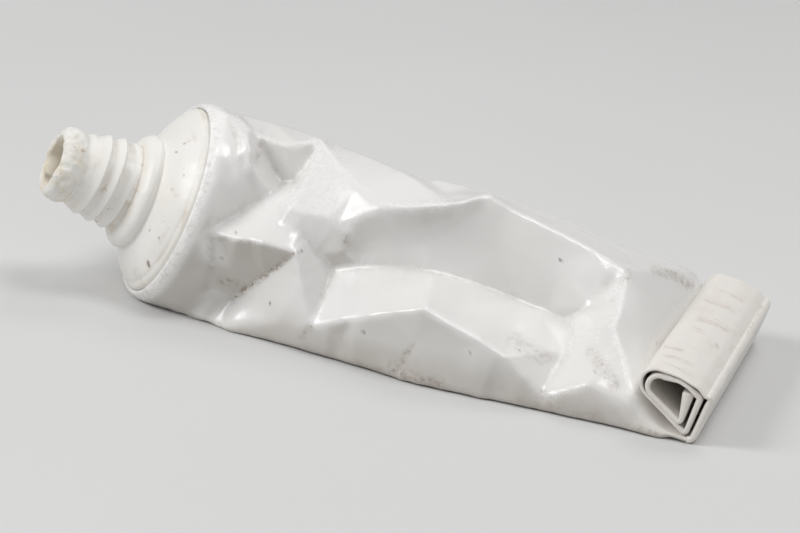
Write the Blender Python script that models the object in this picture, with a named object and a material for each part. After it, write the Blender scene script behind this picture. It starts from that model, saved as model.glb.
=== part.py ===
"""Squeezed family-size toothpaste tube, empty, with no cap: moulded head and crumpled, rolled-up sleeve."""
import math

import bpy
import numpy as np
from mathutils import Vector
from mathutils.geometry import delaunay_2d_cdt

MM = 0.001
HEAD_COLOUR = (0.80, 0.765, 0.69, 1.0)       # warm off-white moulded polyethylene
SLEEVE_COLOUR = (0.76, 0.755, 0.735, 1.0)    # cooler white laminate film

ORIGIN = (-60.69, -0.235)                  # middle of the finished part, taken off at the end

# ------------------------------------------------------------------ lay of the tube
# Millimetres throughout. +X runs from nozzle to rolled tail, +Y is the far side, +Z is up,
# the floor is z = 0 and the bottom fold of the roll is the line x = 0, z = 0.
HEAD_AT = np.array([-103.3, -9.1, 18.0])     # centre of the shoulder disc
HEAD_YAW, HEAD_PITCH = 32.3, 19.2            # the head leans towards the near side and tips up
WALL = 0.5                                   # sleeve wall
FLAT_HALF = 29.25                            # half the flattened width of the sleeve
GIRTH = 120.0                                # nominal girth used to lay out the creases
LEAN = -0.65                                 # the neck sits this much low on the shoulder


def unit(v):
    return v / np.linalg.norm(v, axis=-1, keepdims=True)


def heading(yaw, pitch):
    y, p = math.radians(yaw), math.radians(pitch)
    return np.array([math.cos(y) * math.cos(p), math.sin(y) * math.cos(p), -math.sin(p)])


HEAD_N = -heading(HEAD_YAW, HEAD_PITCH)      # points out of the nozzle
HEAD_W = np.array([-math.sin(math.radians(HEAD_YAW)), math.cos(math.radians(HEAD_YAW)), 0.0])
HEAD_U = np.cross(-HEAD_N, HEAD_W)

# Sections of the sleeve from the shoulder edge to the bottom fold of the roll:
# s, centre, yaw, pitch, half width, half height, upper exponent, lower exponent.
STATIONS = [
    (0.00, HEAD_AT - 0.10 * HEAD_N, 32.3, 19.2, 17.95, 17.95, 2.0, 2.0),
    (0.75, HEAD_AT - 0.65 * HEAD_N, 32.3, 19.2, 18.45, 18.45, 2.0, 2.0),
    (1.90, HEAD_AT - 1.70 * HEAD_N, 32.3, 19.2, 18.85, 18.85, 2.0, 2.0),
    (3.30, HEAD_AT - 3.10 * HEAD_N, 32.2, 19.0, 19.05, 19.05, 2.0, 2.0),
    (6.50, HEAD_AT - 6.10 * HEAD_N, 31.0, 18.0, 19.50, 18.70, 2.0, 2.1),
    (13.0, (-92.6, -4.1, 15.6), 27.0, 15.0, 20.2, 17.6, 2.0, 2.4),
    (22.0, (-84.4, -2.8, 15.2), 19.0, 11.0, 21.0, 16.5, 2.05, 2.8),
    (36.0, (-70.6, -2.6, 14.3), 9.0, 8.0, 22.2, 15.1, 2.1, 3.2),
    (52.0, (-55.0, -2.4, 13.3), 4.0, 6.0, 23.8, 14.0, 2.15, 3.6),
    (67.0, (-40.0, -1.4, 11.6), 2.0, 6.0, 25.8, 12.2, 2.15, 3.6),
    (82.0, (-25.5, -0.4, 9.0), 0.0, 6.0, 27.7, 9.7, 2.15, 3.4),
    (93.0, (-13.3, 0.0, 5.7), 0.0, 4.0, 28.9, 5.9, 2.2, 3.0),
    (98.0, (-8.2, 0.0, 2.9), 0.0, 2.0, 29.1, 2.85, 2.6, 2.8),
    (103.0, (-3.2, 0.0, 1.05), 0.0, 1.0, 29.2, 1.03, 3.4, 3.0),
    (106.4, (0.0, 0.0, 0.6), 0.0, 0.0, FLAT_HALF, 0.6, 6.0, 6.0),
]
S_END = STATIONS[-1][0]


def hermite(xs, ys, x):
    """Monotone cubic through the stations."""
    h = np.diff(xs)[:, None]
    d = np.diff(ys, axis=0) / h
    m = np.zeros_like(ys)
    w1, w2 = 2 * h[1:] + h[:-1], h[1:] + 2 * h[:-1]
    with np.errstate(divide="ignore", invalid="ignore"):
        hm = (w1 + w2) / (w1 / d[:-1] + w2 / d[1:])
    m[1:-1] = np.where(d[1:] * d[:-1] > 0, hm, 0.0)
    m[0], m[-1] = d[0], d[-1]
    i = np.clip(np.searchsorted(xs, x, side="right") - 1, 0, len(xs) - 2)
    hh, t = h[i], (x - xs[i])[:, None] / h[i]
    return ((2 * t**3 - 3 * t**2 + 1) * ys[i] + (t**3 - 2 * t**2 + t) * hh * m[i]
            + (3 * t**2 - 2 * t**3) * ys[i + 1] + (t**3 - t**2) * hh * m[i + 1])


def section(a, b, top, low, v):
    """Closed section by arc length: v = 0 near side, 1/4 top, 1/2 far side, 3/4 underneath."""
    th = np.linspace(0, 2 * math.pi, 1441) - math.pi / 2
    c, s = np.cos(th), np.sin(th)
    p = np.where(s >= 0, top, low)
    x = a * np.sign(c) * np.abs(c) ** (2 / p)
    z = b * np.sign(s) * np.abs(s) ** (2 / p)
    run = np.concatenate([[0], np.cumsum(np.hypot(np.diff(x), np.diff(z)))])
    t = ((0.75 - v) % 1.0) * run[-1]
    return np.interp(t, run, x), np.interp(t, run, z)


def plain_sleeve(ss, v):
    """The sleeve before it is dented: one closed section for each s."""
    xs = np.array([q[0] for q in STATIONS])
    ys = np.array([[*q[1], *q[2:]] for q in STATIONS], float)
    out = np.zeros((len(ss), len(v), 3))
    for i, (cx, cy, cz, yaw, pitch, a, b, top, low) in enumerate(hermite(xs, ys, np.asarray(ss, float))):
        d = heading(yaw, pitch)
        w = np.array([-math.sin(math.radians(yaw)), math.cos(math.radians(yaw)), 0.0])
        n = np.cross(d, w)
        x, z = section(a, b, top, low, v)
        out[i] = np.array([cx, cy, cz]) + x[:, None] * w + z[:, None] * n
    return out


def grid_normals(p):
    du = np.gradient(p, axis=0)
    dv = np.roll(p, -1, 1) - np.roll(p, 1, 1)
    return unit(np.cross(du, dv))


def on_floor(p, r=0.5):
    """Press everything below the floor flat against it, with a small radius where it leaves."""
    z = p[..., 2]
    p[..., 2] = np.where(z > r, z, np.where(z < -r, 0.0, (z + r) ** 2 / (4 * r)))
    return p


# ------------------------------------------------------------------ crease sheet
# The near-side creases are drawn on a sheet seen from SHEET_EYE, SHEET_DIST in front of it.
# Each point: right and up on the sheet (mm), how far across the tube it lies (y, mm), fold radius (mm).
SHEET_EYE = np.array([60.08, -449.46, 161.96])
SHEET_AZ, SHEET_EL, SHEET_ROLL, SHEET_DIST = 15.01, 17.98, 6.57, 490.9


def sheet_axes():
    a, e, k = (math.radians(q) for q in (SHEET_AZ, SHEET_EL, SHEET_ROLL))
    f = np.array([-math.sin(a) * math.cos(e), math.cos(a) * math.cos(e), -math.sin(e)])
    r = np.array([math.cos(a), math.sin(a), 0.0])
    u = np.cross(r, f)
    return math.cos(k) * r + math.sin(k) * u, math.cos(k) * u - math.sin(k) * r, f


def on_sheet(p):
    r, u, f = sheet_axes()
    q = p - SHEET_EYE
    d = q @ f
    return SHEET_DIST * (q @ r) / d, SHEET_DIST * (q @ u) / d


CREASE_POINTS = {
    "A": (-35.3, 6.6, -21.6, 0.45), "a1": (-32.0, 8.3, -18.8, 0.6), "a2": (-28.7, 10.1, -16.2, 0.7), "a3": (-25.8, 11.7, -14.4, 0.8),
    "a4": (-23.6, 13.2, -13.4, 0.9), "b1": (-31.8, 5.5, -22.2, 0.45), "b2": (-28.5, 4.8, -22.8, 0.4), "b3": (-25.1, 4.3, -23.1, 0.4),
    "b4": (-22.2, 3.5, -23, 0.4), "V7": (-19.1, 2.5, -22.6, 0.35), "u1": (-32.4, 4.8, -21.2, 0.5), "u2": (-27.3, 3.5, -21.4, 0.5),
    "v1": (-21.3, 0.8, -21, 0.4), "v2": (-23.6, -1.0, -19.8, 0.4), "v3": (-25.8, -2.6, -19, 0.4), "v4": (-28.2, -4.3, -18.3, 0.45),
    "v5": (-30.5, -6.1, -18, 0.7), "v6": (-32.4, -7.5, -18.7, 1), "v7": (-34.2, -9.2, -19.6, 1.2), "w1": (-35.5, 0.8, -21.3, 1.5),
    "w2": (-34.2, -3.9, -19.2, 1.5), "w3": (-30.5, -0.6, -20.2, 1.2), "l1": (-30.5, -9.9, -21.8, 1), "l2": (-25.5, -10.6, -22.8, 0.9),
    "l3": (-20.4, -11.2, -24, 0.8), "V8": (-16.2, -11.0, -25.6, 0.4), "vv1": (-18.4, -0.8, -23.4, 0.4), "vv2": (-17.6, -4.3, -24.1, 0.4),
    "vv3": (-16.9, -7.7, -24.8, 0.4), "vw1": (-12.9, -2.6, -19.1, 0.4), "vw2": (-13.8, -5.2, -21.1, 0.4), "vw3": (-15.1, -8.1, -23.4, 0.4),
    "c0": (-32.4, 28.1, -7.4, 0.45), "c1": (-30.5, 26.6, -9.3, 0.45), "c2": (-28.9, 24.6, -11.8, 0.45), "c3": (-27.6, 22.6, -13.9, 0.4),
    "c4": (-27.1, 20.6, -15.3, 0.4), "c5": (-27.1, 18.1, -16, 0.6), "e1": (-28.5, 26.5, -7.6, 0.7), "e2": (-27.1, 25.0, -9.2, 0.6),
    "C": (-25.1, 23.5, -9, 0.35), "f1": (-25.6, 21.2, -10.4, 0.6), "f2": (-26.2, 18.3, -13.2, 0.9), "g1": (-31.6, 23.0, -13.3, 1.5),
    "g2": (-32.0, 18.5, -16.8, 1.6), "g3": (-32.5, 13.9, -19.3, 1.4), "g4": (-33.8, 9.5, -20.6, 1), "g5": (-29.1, 16.6, -16.2, 1.2),
    "g6": (-27.3, 13.9, -15.6, 1.2), "h1": (-20.9, 21.9, -9.3, 0.6), "h2": (-17.5, 22.5, -8, 0.5), "V1": (-14.4, 23.2, -5, 0.4),
    "d1": (-24.0, 19.7, -8.8, 0.7), "d2": (-22.9, 17.5, -9, 0.7), "d3": (-21.3, 15.5, -9.3, 0.7), "d4": (-19.3, 15.2, -9.8, 0.6),
    "d5": (-17.5, 17.4, -9, 0.5), "d6": (-16.0, 19.9, -7.5, 0.5), "r1": (-15.1, 20.3, -8.4, 0.4), "r2": (-16.2, 18.1, -10.8, 0.4),
    "r3": (-17.5, 15.5, -13.3, 0.4), "r4": (-18.7, 13.0, -15.9, 0.4), "V2": (-20.2, 10.6, -18, 0.35), "k1": (-21.1, 12.8, -14, 1),
    "k2": (-23.6, 13.9, -13, 1), "k3": (-22.7, 10.6, -16, 0.7), "k4": (-22.2, 7.4, -19.2, 0.7), "k5": (-20.4, 6.6, -19.6, 1.5),
    "m1": (-18.7, 7.5, -18.8, 0.35), "m2": (-17.3, 5.2, -18.6, 0.35), "m3": (-14.7, 2.1, -17.9, 0.35), "V3": (-12.0, -0.3, -17.2, 0.35),
    "n1": (-16.4, 9.7, -18.1, 0.6), "n2": (-12.7, 8.8, -18.2, 0.8), "V4": (-9.6, 5.5, -18.5, 0.5), "o1": (-10.4, 2.8, -18, 0.4),
    "p1": (-11.3, 18.5, -10, 1.2), "p2": (-8.7, 15.7, -13, 1), "p3": (-5.3, 12.5, -16, 0.8), "q1": (-7.3, 9.2, -18.3, 0.5),
    "q2": (-3.6, 10.5, -18, 0.45), "q3": (0.0, 10.8, -17, 0.45), "q4": (4.5, 11.0, -15.2, 0.45), "q5": (9.1, 11.3, -12.4, 0.45),
    "q6": (12.7, 12.3, -9.3, 0.45), "V5": (16.4, 13.1, -5.5, 0.4), "s1": (-6.9, 3.0, -17.2, 1.6), "s2": (-1.8, 4.1, -17, 1.8),
    "s3": (3.6, 5.2, -14.6, 1.6), "s4": (8.7, 7.2, -11.6, 1.2), "s5": (12.7, 9.7, -8.8, 0.8), "t1": (-7.6, 0.1, -17.2, 0.5),
    "t2": (-3.6, 0.0, -17.4, 0.5), "t3": (0.0, -0.3, -17.2, 0.55), "t4": (5.5, -1.0, -16, 0.6), "t5": (10.9, -2.5, -14.2, 0.65),
    "t6": (16.4, -4.3, -12.2, 0.65), "t7": (21.8, -6.3, -10.4, 0.65), "t8": (26.9, -8.1, -9.4, 0.65), "V6": (31.3, -12.1, -13.3, 0.6),
    "t9": (30.0, -9.7, -9.6, 0.7), "x1": (18.2, 4.8, -7.7, 2), "x2": (29.1, -0.3, -6.4, 2), "x3": (9.1, 1.5, -13.2, 2),
    "x4": (36.4, -1.0, -6.5, 1.5), "R1": (19.5, 11.0, -5, 0.45), "R2": (21.8, 9.7, -4.7, 0.45), "R3": (24.5, 8.5, -4.4, 0.45),
    "R4": (27.3, 7.0, -4.2, 0.45), "R5": (30.0, 5.7, -4.1, 0.45), "R6": (32.7, 4.3, -4, 0.45), "R7": (35.5, 2.8, -4, 0.45),
    "R8": (38.2, 1.2, -4, 0.45), "V10": (41.5, -1.0, -4, 0.35), "y1": (-13.6, -10.5, -26, 0.4), "y2": (-10.0, -9.7, -26.8, 0.4),
    "y3": (-5.5, -8.9, -27.8, 0.4), "y4": (-0.5, -8.1, -28.7, 0.4), "V9": (4.2, -7.5, -29.5, 0.35), "z1": (2.2, -14.3, -28.6, 0.5),
    "z2": (-0.4, -19.2, -27.4, 0.5), "za": (-10.9, -14.3, -25, 1.2), "zb": (-4.5, -15.5, -27, 1.2), "R51": (9.1, -10.5, -29.3, 0.4),
    "R52": (14.5, -13.5, -29.2, 0.4), "R53": (19.1, -16.5, -29, 0.4), "R54": (22.7, -19.9, -28.8, 0.4), "V11": (26.0, -23.2, -28.5, 0.35),
    "zc": (9.1, -17.9, -28.6, 1.5), "zd": (18.2, -21.5, -28.3, 1.5), "g61": (30.5, -14.3, -16.6, 0.5), "g62": (29.1, -17.4, -20.8, 0.5),
    "g63": (27.6, -20.3, -25, 0.5), "i1": (37.6, -3.9, -7, 0.5), "i2": (34.5, -6.6, -9.8, 0.5), "i3": (32.4, -8.3, -9.8, 0.5),
    "j1": (40.4, -4.3, -8.5, 0.5), "j2": (39.8, -7.5, -13, 0.5), "j3": (38.5, -10.6, -17.5, 0.6), "j4": (39.3, -13.7, -20.5, 0.6),
    "j5": (40.4, -16.1, -22.5, 0.5), "j6": (41.8, -20.6, -26, 0.5), "j7": (43.6, -24.8, -28.3, 0.6), "j8": (45.8, -27.9, -28.8, 0.7),
    "j9": (48.7, -30.8, -29, 0.8), "aa1": (30.0, -22.3, -28.9, 0.4), "aa2": (34.2, -21.2, -28.6, 0.5), "aa3": (36.4, -18.5, -25.5, 0.5),
    "aa4": (38.2, -15.5, -21.8, 0.5), "ab1": (34.5, -14.3, -18.5, 1.2), "ab2": (32.7, -17.0, -21.5, 1.2), "ab3": (36.4, -7.9, -11.8, 0.5),
    "ac1": (40.0, -24.3, -28.9, 1.2), "ac2": (34.5, -25.2, -28.8, 1.2), "O1": (-29.1, 27.9, -2, 1), "O2": (-23.6, 26.4, 0.5, 1),
    "O3": (-18.2, 24.9, 1.5, 1), "O4": (-11.6, 22.3, 0, 1), "O5": (-5.8, 20.1, 0.5, 1), "O6": (-1.5, 18.1, -1, 0.8),
    "Q1": (0.4, 17.2, -2.7, 0.5), "Q2": (2.9, 15.7, -4.9, 0.4), "Q3": (5.5, 13.9, -7.5, 0.4), "Q4": (7.5, 12.1, -10.5, 0.4),
    "S1": (5.1, 15.7, 1, 0.5), "S2": (8.2, 13.5, -2, 0.5), "S3": (10.2, 12.1, -6.5, 0.5), "F1": (7.3, 15.8, 3, 0.9),
    "F2": (11.6, 14.8, 4, 0.9), "F3": (16.4, 13.6, 5.8, 0.9), "F4": (20.9, 12.5, 8, 0.9), "F5": (25.6, 10.5, 9, 0.9),
    "F6": (32.0, 7.9, 11, 0.9), "F7": (37.8, 5.2, 13, 0.9), "F8": (43.6, 2.8, 17, 0.9), "F9": (49.5, 1.1, 21, 0.9),
    "F10": (52.7, 0.0, 24.5, 0.8), "F11": (54.0, -1.0, 27, 0.8), "G1": (45.5, -0.8, 4, 0.6), "G2": (49.5, -0.6, 13, 0.6),
    "G3": (52.7, -1.2, 20, 0.8), "H1": (44.5, -6.1, -6, 2), "H2": (44.5, -13.4, -14, 2), "H3": (45.5, -19.7, -22, 1.5),
    "K0": (-41.5, -8.1, -17.8, 0.8), "K1": (-36.4, -10.3, -20.2, 0.6), "K2": (-30.9, -12.3, -22.3, 0.6), "K3": (-26.9, -13.0, -22.6, 0.6),
    "K4": (-22.2, -14.2, -23.2, 0.6), "K5": (-17.1, -15.6, -24.3, 0.6), "K6": (-10.0, -17.7, -26, 0.6), "K7": (-3.6, -19.6, -27.4, 0.6),
    "K8": (-0.4, -20.9, -28.7, 0.5), "K9": (2.9, -21.6, -29, 0.5), "K10": (7.3, -22.6, -29.2, 0.5), "K11": (14.5, -24.2, -29.2, 0.5),
    "K12": (18.2, -24.8, -29, 0.5), "K13": (25.5, -26.4, -29, 0.5), "K14": (30.0, -27.4, -29.1, 0.5), "K15": (34.5, -28.4, -29.2, 0.5),
    "K16": (38.2, -29.1, -29.2, 0.5), "K17": (43.6, -30.5, -29.8, 0.5), "K18": (46.9, -31.7, -30.2, 0.6),
}
CREASE_LINES = [
    "A a1 a2 a3 a4",
    "A b1 b2 b3 b4 V7",
    "V7 v1 v2 v3 v4 v5 v6 v7",
    "c0 c1 c2 c3 c4 c5",
    "e1 e2 C",
    "C h1 h2 V1",
    "C d1 d2 d3 d4 d5 d6 V1",
    "V1 r1 r2 r3 r4 V2",
    "V2 m1 m2 m3 V3",
    "V2 n1 n2 V4",
    "V4 o1 V3",
    "V4 q1 q2 q3 q4 q5 q6 V5",
    "V3 t1 t2 t3 t4 t5 t6 t7 t8 t9 V6",
    "V5 R1 R2 R3 R4 R5 R6 R7 R8 V10",
    "V8 y1 y2 y3 y4 V9",
    "V9 z1 z2",
    "V9 R51 R52 R53 R54 V11",
    "V6 g61 g62 g63 V11",
    "V10 i1 i2 i3 t9",
    "V10 j1 j2 j3 j4 j5 j6 j7 j8 j9",
    "V11 aa1 aa2 aa3 aa4 j4",
    "l1 l2 l3 V8",
    "Q1 Q2 Q3 Q4 q5",
    "S1 S2 S3",
    "V5 s5 s4 s3 s2 s1",
    "a4 k3 k4 b4",
    "a4 k2",
    "V10 G1 G2 G3",
    "p1 p2 p3 q1",
    "V1 p1",
    "V7 vv1 vv2 vv3 V8",
    "V3 vw1 vw2 vw3 V8",
    "K0 K1 K2 K3 K4 K5 K6 K7 K8 K9 K10 K11 K12 K13 K14 K15 K16 K17 K18",
    "z2 K8",
    "V11 K13",
    "F1 F2 F3 F4 F5 F6 F7 F8 F9 F10 F11",
]
# Far side: (s mm, share of the way round) -> (relief mm, fold radius mm).
FAR_POINTS = {
    (14, 0.36): (0.6, 0.8), (20, 0.44): (-2, 0.8), (12, 0.52): (0.3, 0.8), (22, 0.56): (0.6, 0.6), (30, 0.4): (0.6, 0.5),
    (34, 0.5): (-1.6, 0.7), (28, 0.6): (0.2, 0.8), (44, 0.36): (-1.2, 0.8), (46, 0.46): (1, 0.5), (44, 0.56): (-0.8, 0.7),
    (57, 0.4): (0.2, 0.6), (60, 0.52): (1.6, 0.5), (56, 0.6): (0, 0.8), (70, 0.4): (-0.4, 0.8), (72, 0.47): (-1.4, 0.8),
    (68, 0.56): (0.4, 0.7), (82, 0.43): (0.6, 0.5), (84, 0.53): (0.8, 0.6), (94, 0.5): (-0.3, 0.8),
}
FAR_LINES = [
    ((12, 0.52), (34, 0.5)), ((30, 0.4), (46, 0.46)), ((46, 0.46), (60, 0.52)), ((46, 0.46), (57, 0.4)),
    ((60, 0.52), (72, 0.47)), ((60, 0.52), (84, 0.53)), ((57, 0.4), (82, 0.43)), ((20, 0.44), (30, 0.4)),
    ((20, 0.44), (22, 0.56)), ((82, 0.43), (84, 0.53)), ((22, 0.56), (34, 0.5)), ((72, 0.47), (82, 0.43)),
    ((34, 0.5), (46, 0.46)),
]

GRID = 0.4                                   # spacing of the relief grid, mm
NV_GRID = 300
S_GRID = np.arange(0, S_END + 1e-6, GRID)
V_GRID = np.arange(NV_GRID) / NV_GRID


def through_sheet(a, b, y):
    """The point behind (a, b) on the sheet that lies y across the tube."""
    r, u, f = sheet_axes()
    d = f * SHEET_DIST + a * r + b * u
    return SHEET_EYE + d * (y - SHEET_EYE[1]) / d[1]


def fade(x, lo, hi):
    t = np.clip((x - lo) / (hi - lo), 0.0, 1.0)
    return t * t * (3 - 2 * t)


def crease_cloud(plain, normal):
    """All crease points: s, w, position, height over the plain sleeve, share of flatness, fold radius."""
    pts = {}
    facing = (normal * unit(SHEET_EYE - plain)).sum(-1)
    rear = np.where(facing < -0.35, 1e6, 0.0) + np.where(V_GRID[None, :] > 0.5, 0.0, 20.0 * np.clip(-facing, 0, 1))
    left, up = on_sheet(plain)
    for name, (a, b, y, r) in CREASE_POINTS.items():
        p = through_sheet(a, b, y)
        # of the plain wall, the spot both close to the point and in line with it on the sheet
        k = (((plain - p) ** 2).sum(-1) + 3.0 * ((left - a) ** 2 + (up - b) ** 2) + rear).argmin()
        i, j = k // NV_GRID, k % NV_GRID
        i = min(max(i, 1), len(S_GRID) - 2)
        du = 0.5 * (plain[i + 1, j] - plain[i - 1, j])
        dv = 0.5 * (plain[i, (j + 1) % NV_GRID] - plain[i, j - 1])
        off = p - plain[i, j]
        di, dj = np.clip(off @ du / (du @ du), -1, 1), np.clip(off @ dv / (dv @ dv), -1, 1)
        s, w = S_GRID[i] + di * GRID, ((j + dj) / NV_GRID % 1.0) * GIRTH
        pts[name] = np.array([s, w, *p, off @ normal[i, j], fade(s, 2.5, 6.5) * fade(-s, -103.0, -99.0), r])

    def on_plain(s, w, h, r):
        i, j = int(round(np.clip(s, 0, S_END) / GRID)), int(round(w / GIRTH * NV_GRID)) % NV_GRID
        i = min(i, len(S_GRID) - 1)
        return np.array([s, w, *(plain[i, j] + h * normal[i, j]), h, 0.0, r])
    for (s, v), (h, r) in FAR_POINTS.items():
        pts[(s, v)] = on_plain(s, v * GIRTH, h, r)
    cloud = list(pts.values())
    lines = []
    for chain in CREASE_LINES:
        names = chain.split()
        lines += list(zip(names[:-1], names[1:]))
    lines += FAR_LINES
    for p, q in ((pts[m], pts[n]) for m, n in lines):
        step = q - p
        step[1] = (step[1] + GIRTH / 2) % GIRTH - GIRTH / 2
        n = int(math.hypot(step[0], step[1]) // 2.0)
        for k in range(1, n + 1):
            f = k / (n + 1)
            c = p + step * f
            c[1] %= GIRTH
            c[7] = min(p[7], q[7]) + 0.25 * math.sin(math.pi * f)
            cloud.append(c)
    for w in np.arange(0, GIRTH, 5.0):       # the sleeve stays round at the head and flat at the roll
        cloud += [on_plain(s, w, 0.0, r) for s, r in ((-2.0, 1.0), (1.0, 0.8), (2.5, 0.8), (104.0, 1.0), (108.0, 1.0))]
    for s in np.arange(10.0, 104.0, 6.0):    # and flat underneath
        cloud += [on_plain(s, v * GIRTH, 0.0, 1.5) for v in (0.62, 0.68, 0.74, 0.80)]
    c = np.array(cloud)
    c = np.vstack([c, c + np.eye(8)[1] * GIRTH, c - np.eye(8)[1] * GIRTH])
    c = c[(c[:, 1] > -24) & (c[:, 1] < GIRTH + 24)]
    _, keep = np.unique(np.round(c[:, :2] / 0.3).astype(int), axis=0, return_index=True)
    return c[np.sort(keep)]


def blur(img, sigma):
    n = max(1, int(round(3 * sigma)))
    k = np.exp(-0.5 * (np.arange(-n, n + 1) / sigma) ** 2)
    k /= k.sum()
    for axis in (0, 1):
        pad = [(0, 0)] * img.ndim
        pad[axis] = (n, n)
        p = np.pad(img, pad, mode="edge")
        m = img.shape[axis]
        img = sum(k[i] * np.take(p, range(i, i + m), axis=axis) for i in range(2 * n + 1))
    return img


def relief(plain, normal, softest=0.3, crisp=1.0):
    """How far each point of the wall is moved by the dents, on the (s, v) grid: flat facets between creases."""
    c = crease_cloud(plain, normal)
    got = delaunay_2d_cdt([Vector((float(p[0]), float(p[1]))) for p in c], [], [], 0, 1e-4)
    xy = np.array([tuple(q) for q in got[0]])
    val = np.array([c[ids[0], 2:] for ids in got[3]])
    margin = 50
    wv = (np.arange(NV_GRID + 2 * margin) - margin) * GIRTH / NV_GRID
    dw = GIRTH / NV_GRID
    out = np.zeros((len(S_GRID), len(wv), 6))
    for tri in got[2]:
        t = xy[list(tri)]
        i0, i1 = np.searchsorted(S_GRID, [t[:, 0].min() - 1e-9, t[:, 0].max() + 1e-9])
        j0 = max(0, int(math.ceil((t[:, 1].min() - wv[0]) / dw - 1e-9)))
        j1 = min(len(wv), int(math.floor((t[:, 1].max() - wv[0]) / dw + 1e-9)) + 1)
        if i1 <= i0 or j1 <= j0:
            continue
        s, w = np.meshgrid(S_GRID[i0:i1], wv[j0:j1], indexing="ij")
        det = (t[1, 0] - t[0, 0]) * (t[2, 1] - t[0, 1]) - (t[2, 0] - t[0, 0]) * (t[1, 1] - t[0, 1])
        if abs(det) < 1e-9:
            continue
        l1 = ((s - t[0, 0]) * (t[2, 1] - t[0, 1]) - (w - t[0, 1]) * (t[2, 0] - t[0, 0])) / det
        l2 = ((w - t[0, 1]) * (t[1, 0] - t[0, 0]) - (s - t[0, 0]) * (t[1, 1] - t[0, 1])) / det
        inside = (l1 > -1e-6) & (l2 > -1e-6) & (l1 + l2 < 1 + 1e-6)
        q = val[list(tri)]
        out[i0:i1, j0:j1][inside] = (q[0] + l1[..., None] * (q[1] - q[0]) + l2[..., None] * (q[2] - q[0]))[inside]
    wrap = (np.arange(len(wv)) - margin) % NV_GRID
    base, up = plain[:, wrap], normal[:, wrap]
    f = out[..., 4:5]
    move = f * (out[..., :3] - base) + (1 - f) * out[..., 3:4] * up
    sigmas = [0.3, 0.6, 1.2, 2.4]
    soft = np.stack([blur(move, g / GRID) for g in sigmas])
    lev = np.log2(np.clip(out[..., 5:] * crisp, max(softest, 0.3), 2.39) / 0.3)
    i = np.clip(lev.astype(int), 0, 2)
    f = lev - i
    lo = np.take_along_axis(soft, i[None], 0)[0]
    hi = np.take_along_axis(soft, (i + 1)[None], 0)[0]
    return (lo * (1 - f) + hi * f)[:, margin:margin + NV_GRID]


# ------------------------------------------------------------------ rolled tail
# The flattened tail is rolled up in a rounded triangle. Its middle line in the x-z plane, from the bottom fold
# inwards: x, z, radius of the fold there, half thickness of the double wall just before it.
ROLL_LINE = [
    (0.83, 0.60, 1.15, 0.60),        # bottom fold, where the sleeve leaves the floor
    (2.60, 7.00, 3.00, 0.60),
    (3.24, 9.05, 0.50, 0.47),        # bead along the right edge
    (2.26, 8.72, 0.55, 0.36),        # groove behind the bead
    (0.75, 10.10, 2.50, 0.27),       # bowed flap on top
    (-2.60, 11.38, 8.00, 0.27),
    (-16.20, 13.20, 2.62, 0.28),     # wide left fold
    (-0.40, 1.47, 0.55, 0.45),       # second bottom fold
    (1.22, 8.30, 0.60, 0.55),        # second right fold
    (-0.85, 9.80, 2.00, 0.36),
    (-2.60, 10.52, 2.00, 0.36),
    (-5.20, 10.70, 5.00, 0.56),
    (-13.45, 11.78, 2.0, 0.46),      # second left fold
    (-1.50, 3.10, 0.52, 0.46),       # third bottom fold
    (-0.95, 8.40, 0.00, 1.02),       # the crimped end stands up inside
]
ROLL_TIP = [(0.22, 0.92), (0.38, 0.55)]      # rounding of the crimped end: further on, half thickness


def roll_path(per_corner=6, per_side=3):
    """Middle line of the double wall past the bottom fold: points, headings (radians), half thickness."""
    corners = [np.array([0.0, 0.60])] + [np.array(c[:2]) for c in ROLL_LINE]
    radii = [0.0] + [c[2] for c in ROLL_LINE]
    half = [0.60] + [c[3] for c in ROLL_LINE]
    pts, ang, thick = [], [], []
    last = corners[0]
    for k in range(1, len(corners)):
        d0 = unit(corners[k] - corners[k - 1])
        a0 = math.atan2(d0[1], d0[0])
        turn, start = 0.0, corners[k]
        if k < len(corners) - 1:
            d1 = unit(corners[k + 1] - corners[k])
            turn = (math.atan2(d1[1], d1[0]) - a0 + math.pi) % (2 * math.pi) - math.pi
            start = corners[k] - d0 * radii[k] * math.tan(abs(turn) / 2)
        run = np.linalg.norm(start - last)
        steps = max(1, int(round(per_side * run / 3.0)))
        if run > 1e-3:
            for q in range(1, steps + 1):
                f = q / steps
                pts.append(last + (start - last) * f)
                ang.append(a0)
                thick.append(half[k - 1] + (half[k] - half[k - 1]) * f)
        if turn:
            side = math.copysign(1.0, turn)
            centre = start + side * radii[k] * np.array([-d0[1], d0[0]])
            n = max(2, int(round(per_corner * abs(turn) / 2.0)))
            for q in range(1, n + 1):
                a = a0 + turn * q / n
                pts.append(centre + side * radii[k] * np.array([math.sin(a), -math.cos(a)]))
                ang.append(a)
                thick.append(half[k])
            last = pts[-1]
    for along, t in ROLL_TIP:
        pts.append(start + d0 * along)
        ang.append(a0)
        thick.append(t)
    return np.array(pts), np.array(ang), np.array(thick)


def stadium(half_w, half_t, v):
    """Flattened sleeve section by arc length, same order as section()."""
    length = 4 * (half_w - half_t) + 2 * math.pi * half_t
    d = (v % 1.0) * length
    quarter = length / 4
    m = np.where(d < 2 * quarter, d, length - d)           # distance from the near tip along either face
    side = np.where(d < 2 * quarter, 1.0, -1.0)
    n = np.where(m > quarter, 2 * quarter - m, m)          # distance from the closest tip
    end = np.where(m > quarter, 1.0, -1.0)
    arc = math.pi * half_t / 2
    phi = np.clip(n / half_t, 0, math.pi / 2)
    x = np.where(n < arc, (half_w - half_t) + half_t * np.cos(phi), (half_w - half_t) - (n - arc))
    z = np.where(n < arc, half_t * np.sin(phi), half_t)
    return end * x, side * z


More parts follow.
